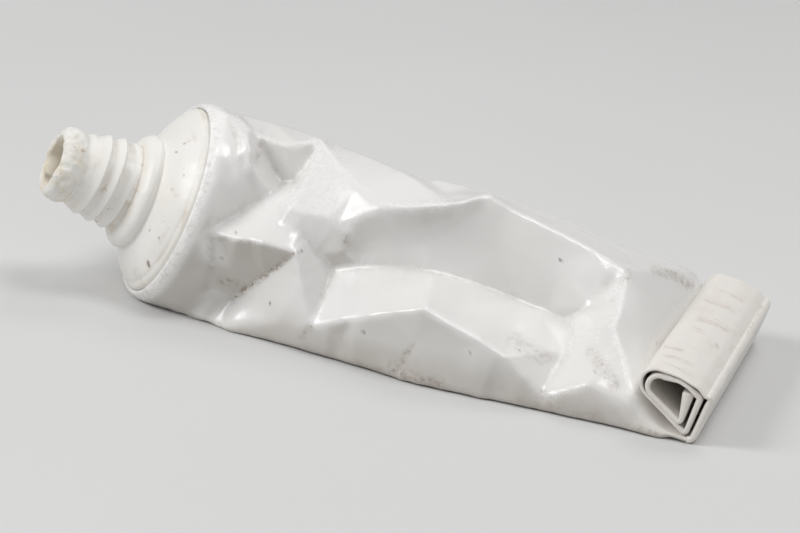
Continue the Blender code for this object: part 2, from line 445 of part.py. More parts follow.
# ------------------------------------------------------------------ head
# Outer line of the moulded head: distance out from the shoulder disc, radius.
LIP_A = 22.0
BORE_R = 4.55
LIP_LINE = [(22.0, 4.75), (22.0, 5.6), (21.75, 6.1), (21.2, 6.5), (20.4, 6.72), (19.3, 6.86), (18.4, 6.78), (17.8, 6.5), (17.4, 6.3)]
NECK_TOP, NECK_END = 17.4, 7.9
COLLAR_LINE = [(7.75, 8.15), (7.45, 8.9), (7.05, 9.65), (6.6, 10.2), (6.1, 10.5), (5.6, 10.62), (5.15, 10.52), (4.85, 10.35),
               (4.6, 10.55), (3.6, 12.35), (2.4, 14.45), (1.1, 16.2), (0.35, 17.05), (0.1, 17.3)]
INSIDE_LINE = [(-0.5, 17.4), (-2.1, 17.4), (-2.1, 16.2), (-0.9, 15.7), (0.2, 14.9), (1.6, 12.9), (2.9, 10.6), (3.7, 8.4), (4.3, 6.2),
               (5.0, 5.0), (6.2, BORE_R), (10.0, BORE_R), (14.5, BORE_R), (19.0, BORE_R), (21.3, BORE_R), (21.8, 4.6)]
THREAD_PITCH = 2.72


def neck_radius(a, th):
    """Threaded neck; th = 0 far side, 90 up, 180 near side, degrees."""
    root = np.interp(a, [7.9, 8.6, 11.2, 14.0, 16.2, 17.4], [7.75, 7.6, 7.5, 7.25, 6.85, 6.3])
    turn = ((90.0 - th) % 360.0) / 360.0                   # 0 at the top, growing towards the far side
    best = np.zeros_like(a)
    for k in range(-1, 5):
        crest = 16.35 - THREAD_PITCH * (k + turn)
        fade = np.clip((16.6 - crest) / 1.0, 0, 1) * np.clip((crest - 8.2) / 0.9, 0, 1)
        d = a - crest
        rise = np.where(d > 0, np.clip(1 - d / 1.75, 0, 1) ** 1.3, np.clip(1 + d / 0.5, 0, 1))
        best = np.maximum(best, rise * fade * np.interp(crest, [8.5, 10, 15], [0.8, 0.8, 0.5]))
    # the thread runs out in a step beside the collar: filled above the ledge, bare below it
    up = np.clip((186.0 - th) / 4.0, 0, 1) * np.clip((th - 20.0) / 40.0, 0, 1)
    fill = 0.42 * up * np.clip((a - 7.4) / 0.3, 0, 1) * np.clip((9.3 - a) / 0.5, 0, 1)
    return root + np.maximum(best, fill)


def head_point(a, r, th):
    """A point of the head from distance out, radius and angle in degrees."""
    t = np.radians(th)
    off = LEAN * np.clip(a / 5.0, 0, 1) ** 2 * (3 - 2 * np.clip(a / 5.0, 0, 1))
    return (HEAD_AT + a[..., None] * HEAD_N + (r * np.cos(t))[..., None] * HEAD_W
            + (r * np.sin(t) + off)[..., None] * HEAD_U)


# ------------------------------------------------------------------ meshes
def material(name, colour, rough):
    m = bpy.data.materials.new(name)
    m.use_nodes = True
    p = m.node_tree.nodes["Principled BSDF"]
    p.inputs["Base Color"].default_value = colour
    p.inputs["Roughness"].default_value = rough
    p.inputs["Metallic"].default_value = 0.0
    return m


def loop_faces(start, rings, n, flip=False):
    """Quads between consecutive rings of n vertices."""
    faces = []
    for i in range(rings - 1):
        for j in range(n):
            q = (start + i * n + j, start + i * n + (j + 1) % n,
                 start + (i + 1) * n + (j + 1) % n, start + (i + 1) * n + j)
            faces.append(q[::-1] if flip else q)
    return faces


def zip_ring(first, n, flip=False):
    """Close a flat ring whose vertex j lies over vertex n - j."""
    faces = [(first, first + 1, first + n - 1)]
    for j in range(1, n // 2 - 1):
        faces.append((first + j, first + j + 1, first + n - j - 1, first + n - j))
    faces.append((first + n // 2 - 1, first + n // 2, first + n // 2 + 1))
    return [f[::-1] for f in faces] if flip else faces


def add_object(name, points, faces, mat):
    me = bpy.data.meshes.new(name)
    me.from_pydata([tuple(float(c) * MM for c in p) for p in points], [], faces)
    me.materials.append(mat)
    me.update()
    ob = bpy.data.objects.new(name, me)
    bpy.context.scene.collection.objects.link(ob)
    return ob


def sample_grid(grid, ss, v):
    """Bilinear samples of an (s, v) grid at coarse rings and columns."""
    i = np.minimum((ss / GRID).astype(int), len(S_GRID) - 2)
    fi = (ss / GRID - i)[:, None, None]
    x = v * NV_GRID
    j = np.floor(x).astype(int)
    fj = (x - j)[None, :, None]
    j0, j1 = j % NV_GRID, (j + 1) % NV_GRID
    a = grid[i][:, j0] * (1 - fj) + grid[i][:, j1] * fj
    b = grid[i + 1][:, j0] * (1 - fj) + grid[i + 1][:, j1] * fj
    return a * (1 - fi) + b * fi


def build_sleeve(mat):
    half_girth = 59.7
    d = np.concatenate([[0, 0.5, 1.1], 1.1 + np.arange(1, 24) * 57.5 / 24, [58.6, 59.2]])
    v = np.concatenate([d, half_girth + d]) / (2 * half_girth)
    n = len(v)
    body = np.concatenate([[0, 0.75, 1.9, 3.3], np.arange(6.5, 104.0, 3.3), [105.2, S_END]])
    inner = body[body < 98.5]

    plain = plain_sleeve(S_GRID, V_GRID)
    normal = grid_normals(plain)
    dented = on_floor(plain + relief(plain, normal, softest=1.2))
    out_n = grid_normals(dented)
    outside = sample_grid(dented, body, v)
    inside = sample_grid(dented - WALL * out_n, inner, v)

    pts, ang, thick = roll_path(per_corner=5, per_side=1)
    roll = np.zeros((len(pts), n, 3))
    for i, (p, a, t) in enumerate(zip(pts, ang, thick)):
        y, h = stadium(FLAT_HALF, t, v)
        roll[i, :, 0] = p[0] - math.sin(a) * h
        roll[i, :, 1] = y
        roll[i, :, 2] = p[1] + math.cos(a) * h
    outer = np.vstack([outside, roll])
    points = np.vstack([outer.reshape(-1, 3), inside.reshape(-1, 3)])
    no, ni = len(outer), len(inner)
    faces = loop_faces(0, no, n, flip=True)                       # outer skin
    faces += loop_faces(no * n, ni, n)                            # inner skin
    faces += [(j, (j + 1) % n, no * n + (j + 1) % n, no * n + j) for j in range(n)]      # shoulder edge
    faces += zip_ring((no - 1) * n, n, flip=True)                # crimped end, inside the roll
    faces += zip_ring((no + ni - 1) * n, n, flip=False)            # where the walls meet inside
    return add_object("sleeve", points, faces, mat)


def build_head(mat):
    n = 60
    th = np.arange(n) * 360.0 / n
    rings = []

    def ring(a, r):
        rings.append(head_point(np.full(n, float(a)), np.broadcast_to(r, (n,)).astype(float), th))
    for a, r in LIP_LINE:
        ring(a, r)
    for a in np.linspace(NECK_TOP - 0.35, NECK_END, 28):
        ring(a, neck_radius(np.full(n, a), th))
    for a, r in COLLAR_LINE + INSIDE_LINE:
        ring(a, r)
    m = len(rings)
    faces = loop_faces(0, m, n)
    faces += [((m - 1) * n + j, (m - 1) * n + (j + 1) % n, (j + 1) % n, j) for j in range(n)]
    return add_object("head", np.vstack(rings), faces, mat)


def main():
    for ob in list(bpy.data.objects):
        bpy.data.objects.remove(ob, do_unlink=True)
    head = build_head(material("head_plastic", HEAD_COLOUR, 0.42))
    sleeve = build_sleeve(material("sleeve_film", SLEEVE_COLOUR, 0.28))
    for ob in (head, sleeve):
        for vert in ob.data.vertices:
            vert.co.x -= ORIGIN[0] * MM
            vert.co.y -= ORIGIN[1] * MM
        ob.data.update()


main()
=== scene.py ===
"""Looks of the squeezed toothpaste tube: fine meshes for the moulded head and the crumpled sleeve, their materials,
a pale floor, soft light and the camera. The geometry rules are those of the model; here they run at a finer grid."""
import math

import bpy
import numpy as np
from mathutils import Matrix, Vector
from mathutils.geometry import delaunay_2d_cdt


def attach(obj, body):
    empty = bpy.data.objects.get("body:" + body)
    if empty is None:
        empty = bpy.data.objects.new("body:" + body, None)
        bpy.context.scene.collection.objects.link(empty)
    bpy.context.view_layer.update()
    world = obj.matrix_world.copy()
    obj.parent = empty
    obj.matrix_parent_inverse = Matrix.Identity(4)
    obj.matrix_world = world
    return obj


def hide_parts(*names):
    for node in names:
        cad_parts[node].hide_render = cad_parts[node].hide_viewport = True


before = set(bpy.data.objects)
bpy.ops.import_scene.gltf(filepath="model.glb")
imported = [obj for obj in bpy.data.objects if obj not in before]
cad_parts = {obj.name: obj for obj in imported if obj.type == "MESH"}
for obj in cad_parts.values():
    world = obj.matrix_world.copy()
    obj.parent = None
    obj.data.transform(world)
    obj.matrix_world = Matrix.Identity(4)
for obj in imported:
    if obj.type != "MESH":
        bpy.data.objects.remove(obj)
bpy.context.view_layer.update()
MM = 0.001

ORIGIN = (-60.69, -0.235)                  # middle of the finished part, taken off at the end

# ------------------------------------------------------------------ lay of the tube
# Millimetres throughout. +X runs from nozzle to rolled tail, +Y is the far side, +Z is up,
# the floor is z = 0 and the bottom fold of the roll is the line x = 0, z = 0.
HEAD_AT = np.array([-103.3, -9.1, 18.0])     # centre of the shoulder disc
HEAD_YAW, HEAD_PITCH = 32.3, 19.2            # the head leans towards the near side and tips up
WALL = 0.5                                   # sleeve wall
FLAT_HALF = 29.25                            # half the flattened width of the sleeve
GIRTH = 120.0                                # nominal girth used to lay out the creases
LEAN = -0.65                                 # the neck sits this much low on the shoulder


def unit(v):
    return v / np.linalg.norm(v, axis=-1, keepdims=True)


def heading(yaw, pitch):
    y, p = math.radians(yaw), math.radians(pitch)
    return np.array([math.cos(y) * math.cos(p), math.sin(y) * math.cos(p), -math.sin(p)])


HEAD_N = -heading(HEAD_YAW, HEAD_PITCH)      # points out of the nozzle
HEAD_W = np.array([-math.sin(math.radians(HEAD_YAW)), math.cos(math.radians(HEAD_YAW)), 0.0])
HEAD_U = np.cross(-HEAD_N, HEAD_W)

# Sections of the sleeve from the shoulder edge to the bottom fold of the roll:
# s, centre, yaw, pitch, half width, half height, upper exponent, lower exponent.
STATIONS = [
    (0.00, HEAD_AT - 0.10 * HEAD_N, 32.3, 19.2, 17.95, 17.95, 2.0, 2.0),
    (0.75, HEAD_AT - 0.65 * HEAD_N, 32.3, 19.2, 18.45, 18.45, 2.0, 2.0),
    (1.90, HEAD_AT - 1.70 * HEAD_N, 32.3, 19.2, 18.85, 18.85, 2.0, 2.0),
    (3.30, HEAD_AT - 3.10 * HEAD_N, 32.2, 19.0, 19.05, 19.05, 2.0, 2.0),
    (6.50, HEAD_AT - 6.10 * HEAD_N, 31.0, 18.0, 19.50, 18.70, 2.0, 2.1),
    (13.0, (-92.6, -4.1, 15.6), 27.0, 15.0, 20.2, 17.6, 2.0, 2.4),
    (22.0, (-84.4, -2.8, 15.2), 19.0, 11.0, 21.0, 16.5, 2.05, 2.8),
    (36.0, (-70.6, -2.6, 14.3), 9.0, 8.0, 22.2, 15.1, 2.1, 3.2),
    (52.0, (-55.0, -2.4, 13.3), 4.0, 6.0, 23.8, 14.0, 2.15, 3.6),
    (67.0, (-40.0, -1.4, 11.6), 2.0, 6.0, 25.8, 12.2, 2.15, 3.6),
    (82.0, (-25.5, -0.4, 9.0), 0.0, 6.0, 27.7, 9.7, 2.15, 3.4),
    (93.0, (-13.3, 0.0, 5.7), 0.0, 4.0, 28.9, 5.9, 2.2, 3.0),
    (98.0, (-8.2, 0.0, 2.9), 0.0, 2.0, 29.1, 2.85, 2.6, 2.8),
    (103.0, (-3.2, 0.0, 1.05), 0.0, 1.0, 29.2, 1.03, 3.4, 3.0),
    (106.4, (0.0, 0.0, 0.6), 0.0, 0.0, FLAT_HALF, 0.6, 6.0, 6.0),
]
S_END = STATIONS[-1][0]


def hermite(xs, ys, x):
    """Monotone cubic through the stations."""
    h = np.diff(xs)[:, None]
    d = np.diff(ys, axis=0) / h
    m = np.zeros_like(ys)
    w1, w2 = 2 * h[1:] + h[:-1], h[1:] + 2 * h[:-1]
    with np.errstate(divide="ignore", invalid="ignore"):
        hm = (w1 + w2) / (w1 / d[:-1] + w2 / d[1:])
    m[1:-1] = np.where(d[1:] * d[:-1] > 0, hm, 0.0)
    m[0], m[-1] = d[0], d[-1]
    i = np.clip(np.searchsorted(xs, x, side="right") - 1, 0, len(xs) - 2)
    hh, t = h[i], (x - xs[i])[:, None] / h[i]
    return ((2 * t**3 - 3 * t**2 + 1) * ys[i] + (t**3 - 2 * t**2 + t) * hh * m[i]
            + (3 * t**2 - 2 * t**3) * ys[i + 1] + (t**3 - t**2) * hh * m[i + 1])


def section(a, b, top, low, v):
    """Closed section by arc length: v = 0 near side, 1/4 top, 1/2 far side, 3/4 underneath."""
    th = np.linspace(0, 2 * math.pi, 1441) - math.pi / 2
    c, s = np.cos(th), np.sin(th)
    p = np.where(s >= 0, top, low)
    x = a * np.sign(c) * np.abs(c) ** (2 / p)
    z = b * np.sign(s) * np.abs(s) ** (2 / p)
    run = np.concatenate([[0], np.cumsum(np.hypot(np.diff(x), np.diff(z)))])
    t = ((0.75 - v) % 1.0) * run[-1]
    return np.interp(t, run, x), np.interp(t, run, z)


def plain_sleeve(ss, v):
    """The sleeve before it is dented: one closed section for each s."""
    xs = np.array([q[0] for q in STATIONS])
    ys = np.array([[*q[1], *q[2:]] for q in STATIONS], float)
    out = np.zeros((len(ss), len(v), 3))
    for i, (cx, cy, cz, yaw, pitch, a, b, top, low) in enumerate(hermite(xs, ys, np.asarray(ss, float))):
        d = heading(yaw, pitch)
        w = np.array([-math.sin(math.radians(yaw)), math.cos(math.radians(yaw)), 0.0])
        n = np.cross(d, w)
        x, z = section(a, b, top, low, v)
        out[i] = np.array([cx, cy, cz]) + x[:, None] * w + z[:, None] * n
    return out


def grid_normals(p):
    du = np.gradient(p, axis=0)
    dv = np.roll(p, -1, 1) - np.roll(p, 1, 1)
    return unit(np.cross(du, dv))


def on_floor(p, r=0.5):
    """Press everything below the floor flat against it, with a small radius where it leaves."""
    z = p[..., 2]
    p[..., 2] = np.where(z > r, z, np.where(z < -r, 0.0, (z + r) ** 2 / (4 * r)))
    return p


# ------------------------------------------------------------------ crease sheet
# The near-side creases are drawn on a sheet seen from SHEET_EYE, SHEET_DIST in front of it.
# Each point: right and up on the sheet (mm), how far across the tube it lies (y, mm), fold radius (mm).
SHEET_EYE = np.array([60.08, -449.46, 161.96])
SHEET_AZ, SHEET_EL, SHEET_ROLL, SHEET_DIST = 15.01, 17.98, 6.57, 490.9


def sheet_axes():
    a, e, k = (math.radians(q) for q in (SHEET_AZ, SHEET_EL, SHEET_ROLL))
    f = np.array([-math.sin(a) * math.cos(e), math.cos(a) * math.cos(e), -math.sin(e)])
    r = np.array([math.cos(a), math.sin(a), 0.0])
    u = np.cross(r, f)
    return math.cos(k) * r + math.sin(k) * u, math.cos(k) * u - math.sin(k) * r, f


def on_sheet(p):
    r, u, f = sheet_axes()
    q = p - SHEET_EYE
    d = q @ f
    return SHEET_DIST * (q @ r) / d, SHEET_DIST * (q @ u) / d


CREASE_POINTS = {
    "A": (-35.3, 6.6, -21.6, 0.45), "a1": (-32.0, 8.3, -18.8, 0.6), "a2": (-28.7, 10.1, -16.2, 0.7), "a3": (-25.8, 11.7, -14.4, 0.8),
    "a4": (-23.6, 13.2, -13.4, 0.9), "b1": (-31.8, 5.5, -22.2, 0.45), "b2": (-28.5, 4.8, -22.8, 0.4), "b3": (-25.1, 4.3, -23.1, 0.4),
    "b4": (-22.2, 3.5, -23, 0.4), "V7": (-19.1, 2.5, -22.6, 0.35), "u1": (-32.4, 4.8, -21.2, 0.5), "u2": (-27.3, 3.5, -21.4, 0.5),
    "v1": (-21.3, 0.8, -21, 0.4), "v2": (-23.6, -1.0, -19.8, 0.4), "v3": (-25.8, -2.6, -19, 0.4), "v4": (-28.2, -4.3, -18.3, 0.45),
    "v5": (-30.5, -6.1, -18, 0.7), "v6": (-32.4, -7.5, -18.7, 1), "v7": (-34.2, -9.2, -19.6, 1.2), "w1": (-35.5, 0.8, -21.3, 1.5),
    "w2": (-34.2, -3.9, -19.2, 1.5), "w3": (-30.5, -0.6, -20.2, 1.2), "l1": (-30.5, -9.9, -21.8, 1), "l2": (-25.5, -10.6, -22.8, 0.9),
    "l3": (-20.4, -11.2, -24, 0.8), "V8": (-16.2, -11.0, -25.6, 0.4), "vv1": (-18.4, -0.8, -23.4, 0.4), "vv2": (-17.6, -4.3, -24.1, 0.4),
    "vv3": (-16.9, -7.7, -24.8, 0.4), "vw1": (-12.9, -2.6, -19.1, 0.4), "vw2": (-13.8, -5.2, -21.1, 0.4), "vw3": (-15.1, -8.1, -23.4, 0.4),
    "c0": (-32.4, 28.1, -7.4, 0.45), "c1": (-30.5, 26.6, -9.3, 0.45), "c2": (-28.9, 24.6, -11.8, 0.45), "c3": (-27.6, 22.6, -13.9, 0.4),
    "c4": (-27.1, 20.6, -15.3, 0.4), "c5": (-27.1, 18.1, -16, 0.6), "e1": (-28.5, 26.5, -7.6, 0.7), "e2": (-27.1, 25.0, -9.2, 0.6),
    "C": (-25.1, 23.5, -9, 0.35), "f1": (-25.6, 21.2, -10.4, 0.6), "f2": (-26.2, 18.3, -13.2, 0.9), "g1": (-31.6, 23.0, -13.3, 1.5),
    "g2": (-32.0, 18.5, -16.8, 1.6), "g3": (-32.5, 13.9, -19.3, 1.4), "g4": (-33.8, 9.5, -20.6, 1), "g5": (-29.1, 16.6, -16.2, 1.2),
    "g6": (-27.3, 13.9, -15.6, 1.2), "h1": (-20.9, 21.9, -9.3, 0.6), "h2": (-17.5, 22.5, -8, 0.5), "V1": (-14.4, 23.2, -5, 0.4),
    "d1": (-24.0, 19.7, -8.8, 0.7), "d2": (-22.9, 17.5, -9, 0.7), "d3": (-21.3, 15.5, -9.3, 0.7), "d4": (-19.3, 15.2, -9.8, 0.6),
    "d5": (-17.5, 17.4, -9, 0.5), "d6": (-16.0, 19.9, -7.5, 0.5), "r1": (-15.1, 20.3, -8.4, 0.4), "r2": (-16.2, 18.1, -10.8, 0.4),
    "r3": (-17.5, 15.5, -13.3, 0.4), "r4": (-18.7, 13.0, -15.9, 0.4), "V2": (-20.2, 10.6, -18, 0.35), "k1": (-21.1, 12.8, -14, 1),
    "k2": (-23.6, 13.9, -13, 1), "k3": (-22.7, 10.6, -16, 0.7), "k4": (-22.2, 7.4, -19.2, 0.7), "k5": (-20.4, 6.6, -19.6, 1.5),
    "m1": (-18.7, 7.5, -18.8, 0.35), "m2": (-17.3, 5.2, -18.6, 0.35), "m3": (-14.7, 2.1, -17.9, 0.35), "V3": (-12.0, -0.3, -17.2, 0.35),
    "n1": (-16.4, 9.7, -18.1, 0.6), "n2": (-12.7, 8.8, -18.2, 0.8), "V4": (-9.6, 5.5, -18.5, 0.5), "o1": (-10.4, 2.8, -18, 0.4),
    "p1": (-11.3, 18.5, -10, 1.2), "p2": (-8.7, 15.7, -13, 1), "p3": (-5.3, 12.5, -16, 0.8), "q1": (-7.3, 9.2, -18.3, 0.5),
    "q2": (-3.6, 10.5, -18, 0.45), "q3": (0.0, 10.8, -17, 0.45), "q4": (4.5, 11.0, -15.2, 0.45), "q5": (9.1, 11.3, -12.4, 0.45),
    "q6": (12.7, 12.3, -9.3, 0.45), "V5": (16.4, 13.1, -5.5, 0.4), "s1": (-6.9, 3.0, -17.2, 1.6), "s2": (-1.8, 4.1, -17, 1.8),
    "s3": (3.6, 5.2, -14.6, 1.6), "s4": (8.7, 7.2, -11.6, 1.2), "s5": (12.7, 9.7, -8.8, 0.8), "t1": (-7.6, 0.1, -17.2, 0.5),
    "t2": (-3.6, 0.0, -17.4, 0.5), "t3": (0.0, -0.3, -17.2, 0.55), "t4": (5.5, -1.0, -16, 0.6), "t5": (10.9, -2.5, -14.2, 0.65),
    "t6": (16.4, -4.3, -12.2, 0.65), "t7": (21.8, -6.3, -10.4, 0.65), "t8": (26.9, -8.1, -9.4, 0.65), "V6": (31.3, -12.1, -13.3, 0.6),
    "t9": (30.0, -9.7, -9.6, 0.7), "x1": (18.2, 4.8, -7.7, 2), "x2": (29.1, -0.3, -6.4, 2), "x3": (9.1, 1.5, -13.2, 2),
    "x4": (36.4, -1.0, -6.5, 1.5), "R1": (19.5, 11.0, -5, 0.45), "R2": (21.8, 9.7, -4.7, 0.45), "R3": (24.5, 8.5, -4.4, 0.45),
    "R4": (27.3, 7.0, -4.2, 0.45), "R5": (30.0, 5.7, -4.1, 0.45), "R6": (32.7, 4.3, -4, 0.45), "R7": (35.5, 2.8, -4, 0.45),
    "R8": (38.2, 1.2, -4, 0.45), "V10": (41.5, -1.0, -4, 0.35), "y1": (-13.6, -10.5, -26, 0.4), "y2": (-10.0, -9.7, -26.8, 0.4),
    "y3": (-5.5, -8.9, -27.8, 0.4), "y4": (-0.5, -8.1, -28.7, 0.4), "V9": (4.2, -7.5, -29.5, 0.35), "z1": (2.2, -14.3, -28.6, 0.5),
    "z2": (-0.4, -19.2, -27.4, 0.5), "za": (-10.9, -14.3, -25, 1.2), "zb": (-4.5, -15.5, -27, 1.2), "R51": (9.1, -10.5, -29.3, 0.4),
    "R52": (14.5, -13.5, -29.2, 0.4), "R53": (19.1, -16.5, -29, 0.4), "R54": (22.7, -19.9, -28.8, 0.4), "V11": (26.0, -23.2, -28.5, 0.35),
    "zc": (9.1, -17.9, -28.6, 1.5), "zd": (18.2, -21.5, -28.3, 1.5), "g61": (30.5, -14.3, -16.6, 0.5), "g62": (29.1, -17.4, -20.8, 0.5),
    "g63": (27.6, -20.3, -25, 0.5), "i1": (37.6, -3.9, -7, 0.5), "i2": (34.5, -6.6, -9.8, 0.5), "i3": (32.4, -8.3, -9.8, 0.5),
    "j1": (40.4, -4.3, -8.5, 0.5), "j2": (39.8, -7.5, -13, 0.5), "j3": (38.5, -10.6, -17.5, 0.6), "j4": (39.3, -13.7, -20.5, 0.6),
    "j5": (40.4, -16.1, -22.5, 0.5), "j6": (41.8, -20.6, -26, 0.5), "j7": (43.6, -24.8, -28.3, 0.6), "j8": (45.8, -27.9, -28.8, 0.7),
    "j9": (48.7, -30.8, -29, 0.8), "aa1": (30.0, -22.3, -28.9, 0.4), "aa2": (34.2, -21.2, -28.6, 0.5), "aa3": (36.4, -18.5, -25.5, 0.5),
    "aa4": (38.2, -15.5, -21.8, 0.5), "ab1": (34.5, -14.3, -18.5, 1.2), "ab2": (32.7, -17.0, -21.5, 1.2), "ab3": (36.4, -7.9, -11.8, 0.5),
    "ac1": (40.0, -24.3, -28.9, 1.2), "ac2": (34.5, -25.2, -28.8, 1.2), "O1": (-29.1, 27.9, -2, 1), "O2": (-23.6, 26.4, 0.5, 1),
    "O3": (-18.2, 24.9, 1.5, 1), "O4": (-11.6, 22.3, 0, 1), "O5": (-5.8, 20.1, 0.5, 1), "O6": (-1.5, 18.1, -1, 0.8),
    "Q1": (0.4, 17.2, -2.7, 0.5), "Q2": (2.9, 15.7, -4.9, 0.4), "Q3": (5.5, 13.9, -7.5, 0.4), "Q4": (7.5, 12.1, -10.5, 0.4),
    "S1": (5.1, 15.7, 1, 0.5), "S2": (8.2, 13.5, -2, 0.5), "S3": (10.2, 12.1, -6.5, 0.5), "F1": (7.3, 15.8, 3, 0.9),
    "F2": (11.6, 14.8, 4, 0.9), "F3": (16.4, 13.6, 5.8, 0.9), "F4": (20.9, 12.5, 8, 0.9), "F5": (25.6, 10.5, 9, 0.9),
    "F6": (32.0, 7.9, 11, 0.9), "F7": (37.8, 5.2, 13, 0.9), "F8": (43.6, 2.8, 17, 0.9), "F9": (49.5, 1.1, 21, 0.9),
    "F10": (52.7, 0.0, 24.5, 0.8), "F11": (54.0, -1.0, 27, 0.8), "G1": (45.5, -0.8, 4, 0.6), "G2": (49.5, -0.6, 13, 0.6),
    "G3": (52.7, -1.2, 20, 0.8), "H1": (44.5, -6.1, -6, 2), "H2": (44.5, -13.4, -14, 2), "H3": (45.5, -19.7, -22, 1.5),
    "K0": (-41.5, -8.1, -17.8, 0.8), "K1": (-36.4, -10.3, -20.2, 0.6), "K2": (-30.9, -12.3, -22.3, 0.6), "K3": (-26.9, -13.0, -22.6, 0.6),
    "K4": (-22.2, -14.2, -23.2, 0.6), "K5": (-17.1, -15.6, -24.3, 0.6), "K6": (-10.0, -17.7, -26, 0.6), "K7": (-3.6, -19.6, -27.4, 0.6),
    "K8": (-0.4, -20.9, -28.7, 0.5), "K9": (2.9, -21.6, -29, 0.5), "K10": (7.3, -22.6, -29.2, 0.5), "K11": (14.5, -24.2, -29.2, 0.5),
    "K12": (18.2, -24.8, -29, 0.5), "K13": (25.5, -26.4, -29, 0.5), "K14": (30.0, -27.4, -29.1, 0.5), "K15": (34.5, -28.4, -29.2, 0.5),
    "K16": (38.2, -29.1, -29.2, 0.5), "K17": (43.6, -30.5, -29.8, 0.5), "K18": (46.9, -31.7, -30.2, 0.6),
}
CREASE_LINES = [
    "A a1 a2 a3 a4",
    "A b1 b2 b3 b4 V7",
    "V7 v1 v2 v3 v4 v5 v6 v7",
    "c0 c1 c2 c3 c4 c5",
    "e1 e2 C",
    "C h1 h2 V1",
    "C d1 d2 d3 d4 d5 d6 V1",
    "V1 r1 r2 r3 r4 V2",
    "V2 m1 m2 m3 V3",
    "V2 n1 n2 V4",
    "V4 o1 V3",
    "V4 q1 q2 q3 q4 q5 q6 V5",
    "V3 t1 t2 t3 t4 t5 t6 t7 t8 t9 V6",
    "V5 R1 R2 R3 R4 R5 R6 R7 R8 V10",
    "V8 y1 y2 y3 y4 V9",
    "V9 z1 z2",
    "V9 R51 R52 R53 R54 V11",
    "V6 g61 g62 g63 V11",
    "V10 i1 i2 i3 t9",
    "V10 j1 j2 j3 j4 j5 j6 j7 j8 j9",
    "V11 aa1 aa2 aa3 aa4 j4",
    "l1 l2 l3 V8",
    "Q1 Q2 Q3 Q4 q5",
    "S1 S2 S3",
    "V5 s5 s4 s3 s2 s1",
    "a4 k3 k4 b4",
    "a4 k2",
    "V10 G1 G2 G3",
    "p1 p2 p3 q1",
    "V1 p1",
    "V7 vv1 vv2 vv3 V8",
    "V3 vw1 vw2 vw3 V8",
    "K0 K1 K2 K3 K4 K5 K6 K7 K8 K9 K10 K11 K12 K13 K14 K15 K16 K17 K18",
    "z2 K8",
    "V11 K13",
    "F1 F2 F3 F4 F5 F6 F7 F8 F9 F10 F11",
]
# Far side: (s mm, share of the way round) -> (relief mm, fold radius mm).
FAR_POINTS = {
    (14, 0.36): (0.6, 0.8), (20, 0.44): (-2, 0.8), (12, 0.52): (0.3, 0.8), (22, 0.56): (0.6, 0.6), (30, 0.4): (0.6, 0.5),
    (34, 0.5): (-1.6, 0.7), (28, 0.6): (0.2, 0.8), (44, 0.36): (-1.2, 0.8), (46, 0.46): (1, 0.5), (44, 0.56): (-0.8, 0.7),
    (57, 0.4): (0.2, 0.6), (60, 0.52): (1.6, 0.5), (56, 0.6): (0, 0.8), (70, 0.4): (-0.4, 0.8), (72, 0.47): (-1.4, 0.8),
    (68, 0.56): (0.4, 0.7), (82, 0.43): (0.6, 0.5), (84, 0.53): (0.8, 0.6), (94, 0.5): (-0.3, 0.8),
}
FAR_LINES = [
    ((12, 0.52), (34, 0.5)), ((30, 0.4), (46, 0.46)), ((46, 0.46), (60, 0.52)), ((46, 0.46), (57, 0.4)),
    ((60, 0.52), (72, 0.47)), ((60, 0.52), (84, 0.53)), ((57, 0.4), (82, 0.43)), ((20, 0.44), (30, 0.4)),
    ((20, 0.44), (22, 0.56)), ((82, 0.43), (84, 0.53)), ((22, 0.56), (34, 0.5)), ((72, 0.47), (82, 0.43)),
    ((34, 0.5), (46, 0.46)),
]

GRID = 0.4                                   # spacing of the relief grid, mm
NV_GRID = 300
S_GRID = np.arange(0, S_END + 1e-6, GRID)
V_GRID = np.arange(NV_GRID) / NV_GRID


def through_sheet(a, b, y):
    """The point behind (a, b) on the sheet that lies y across the tube."""
    r, u, f = sheet_axes()
    d = f * SHEET_DIST + a * r + b * u
    return SHEET_EYE + d * (y - SHEET_EYE[1]) / d[1]


def fade(x, lo, hi):
    t = np.clip((x - lo) / (hi - lo), 0.0, 1.0)
    return t * t * (3 - 2 * t)


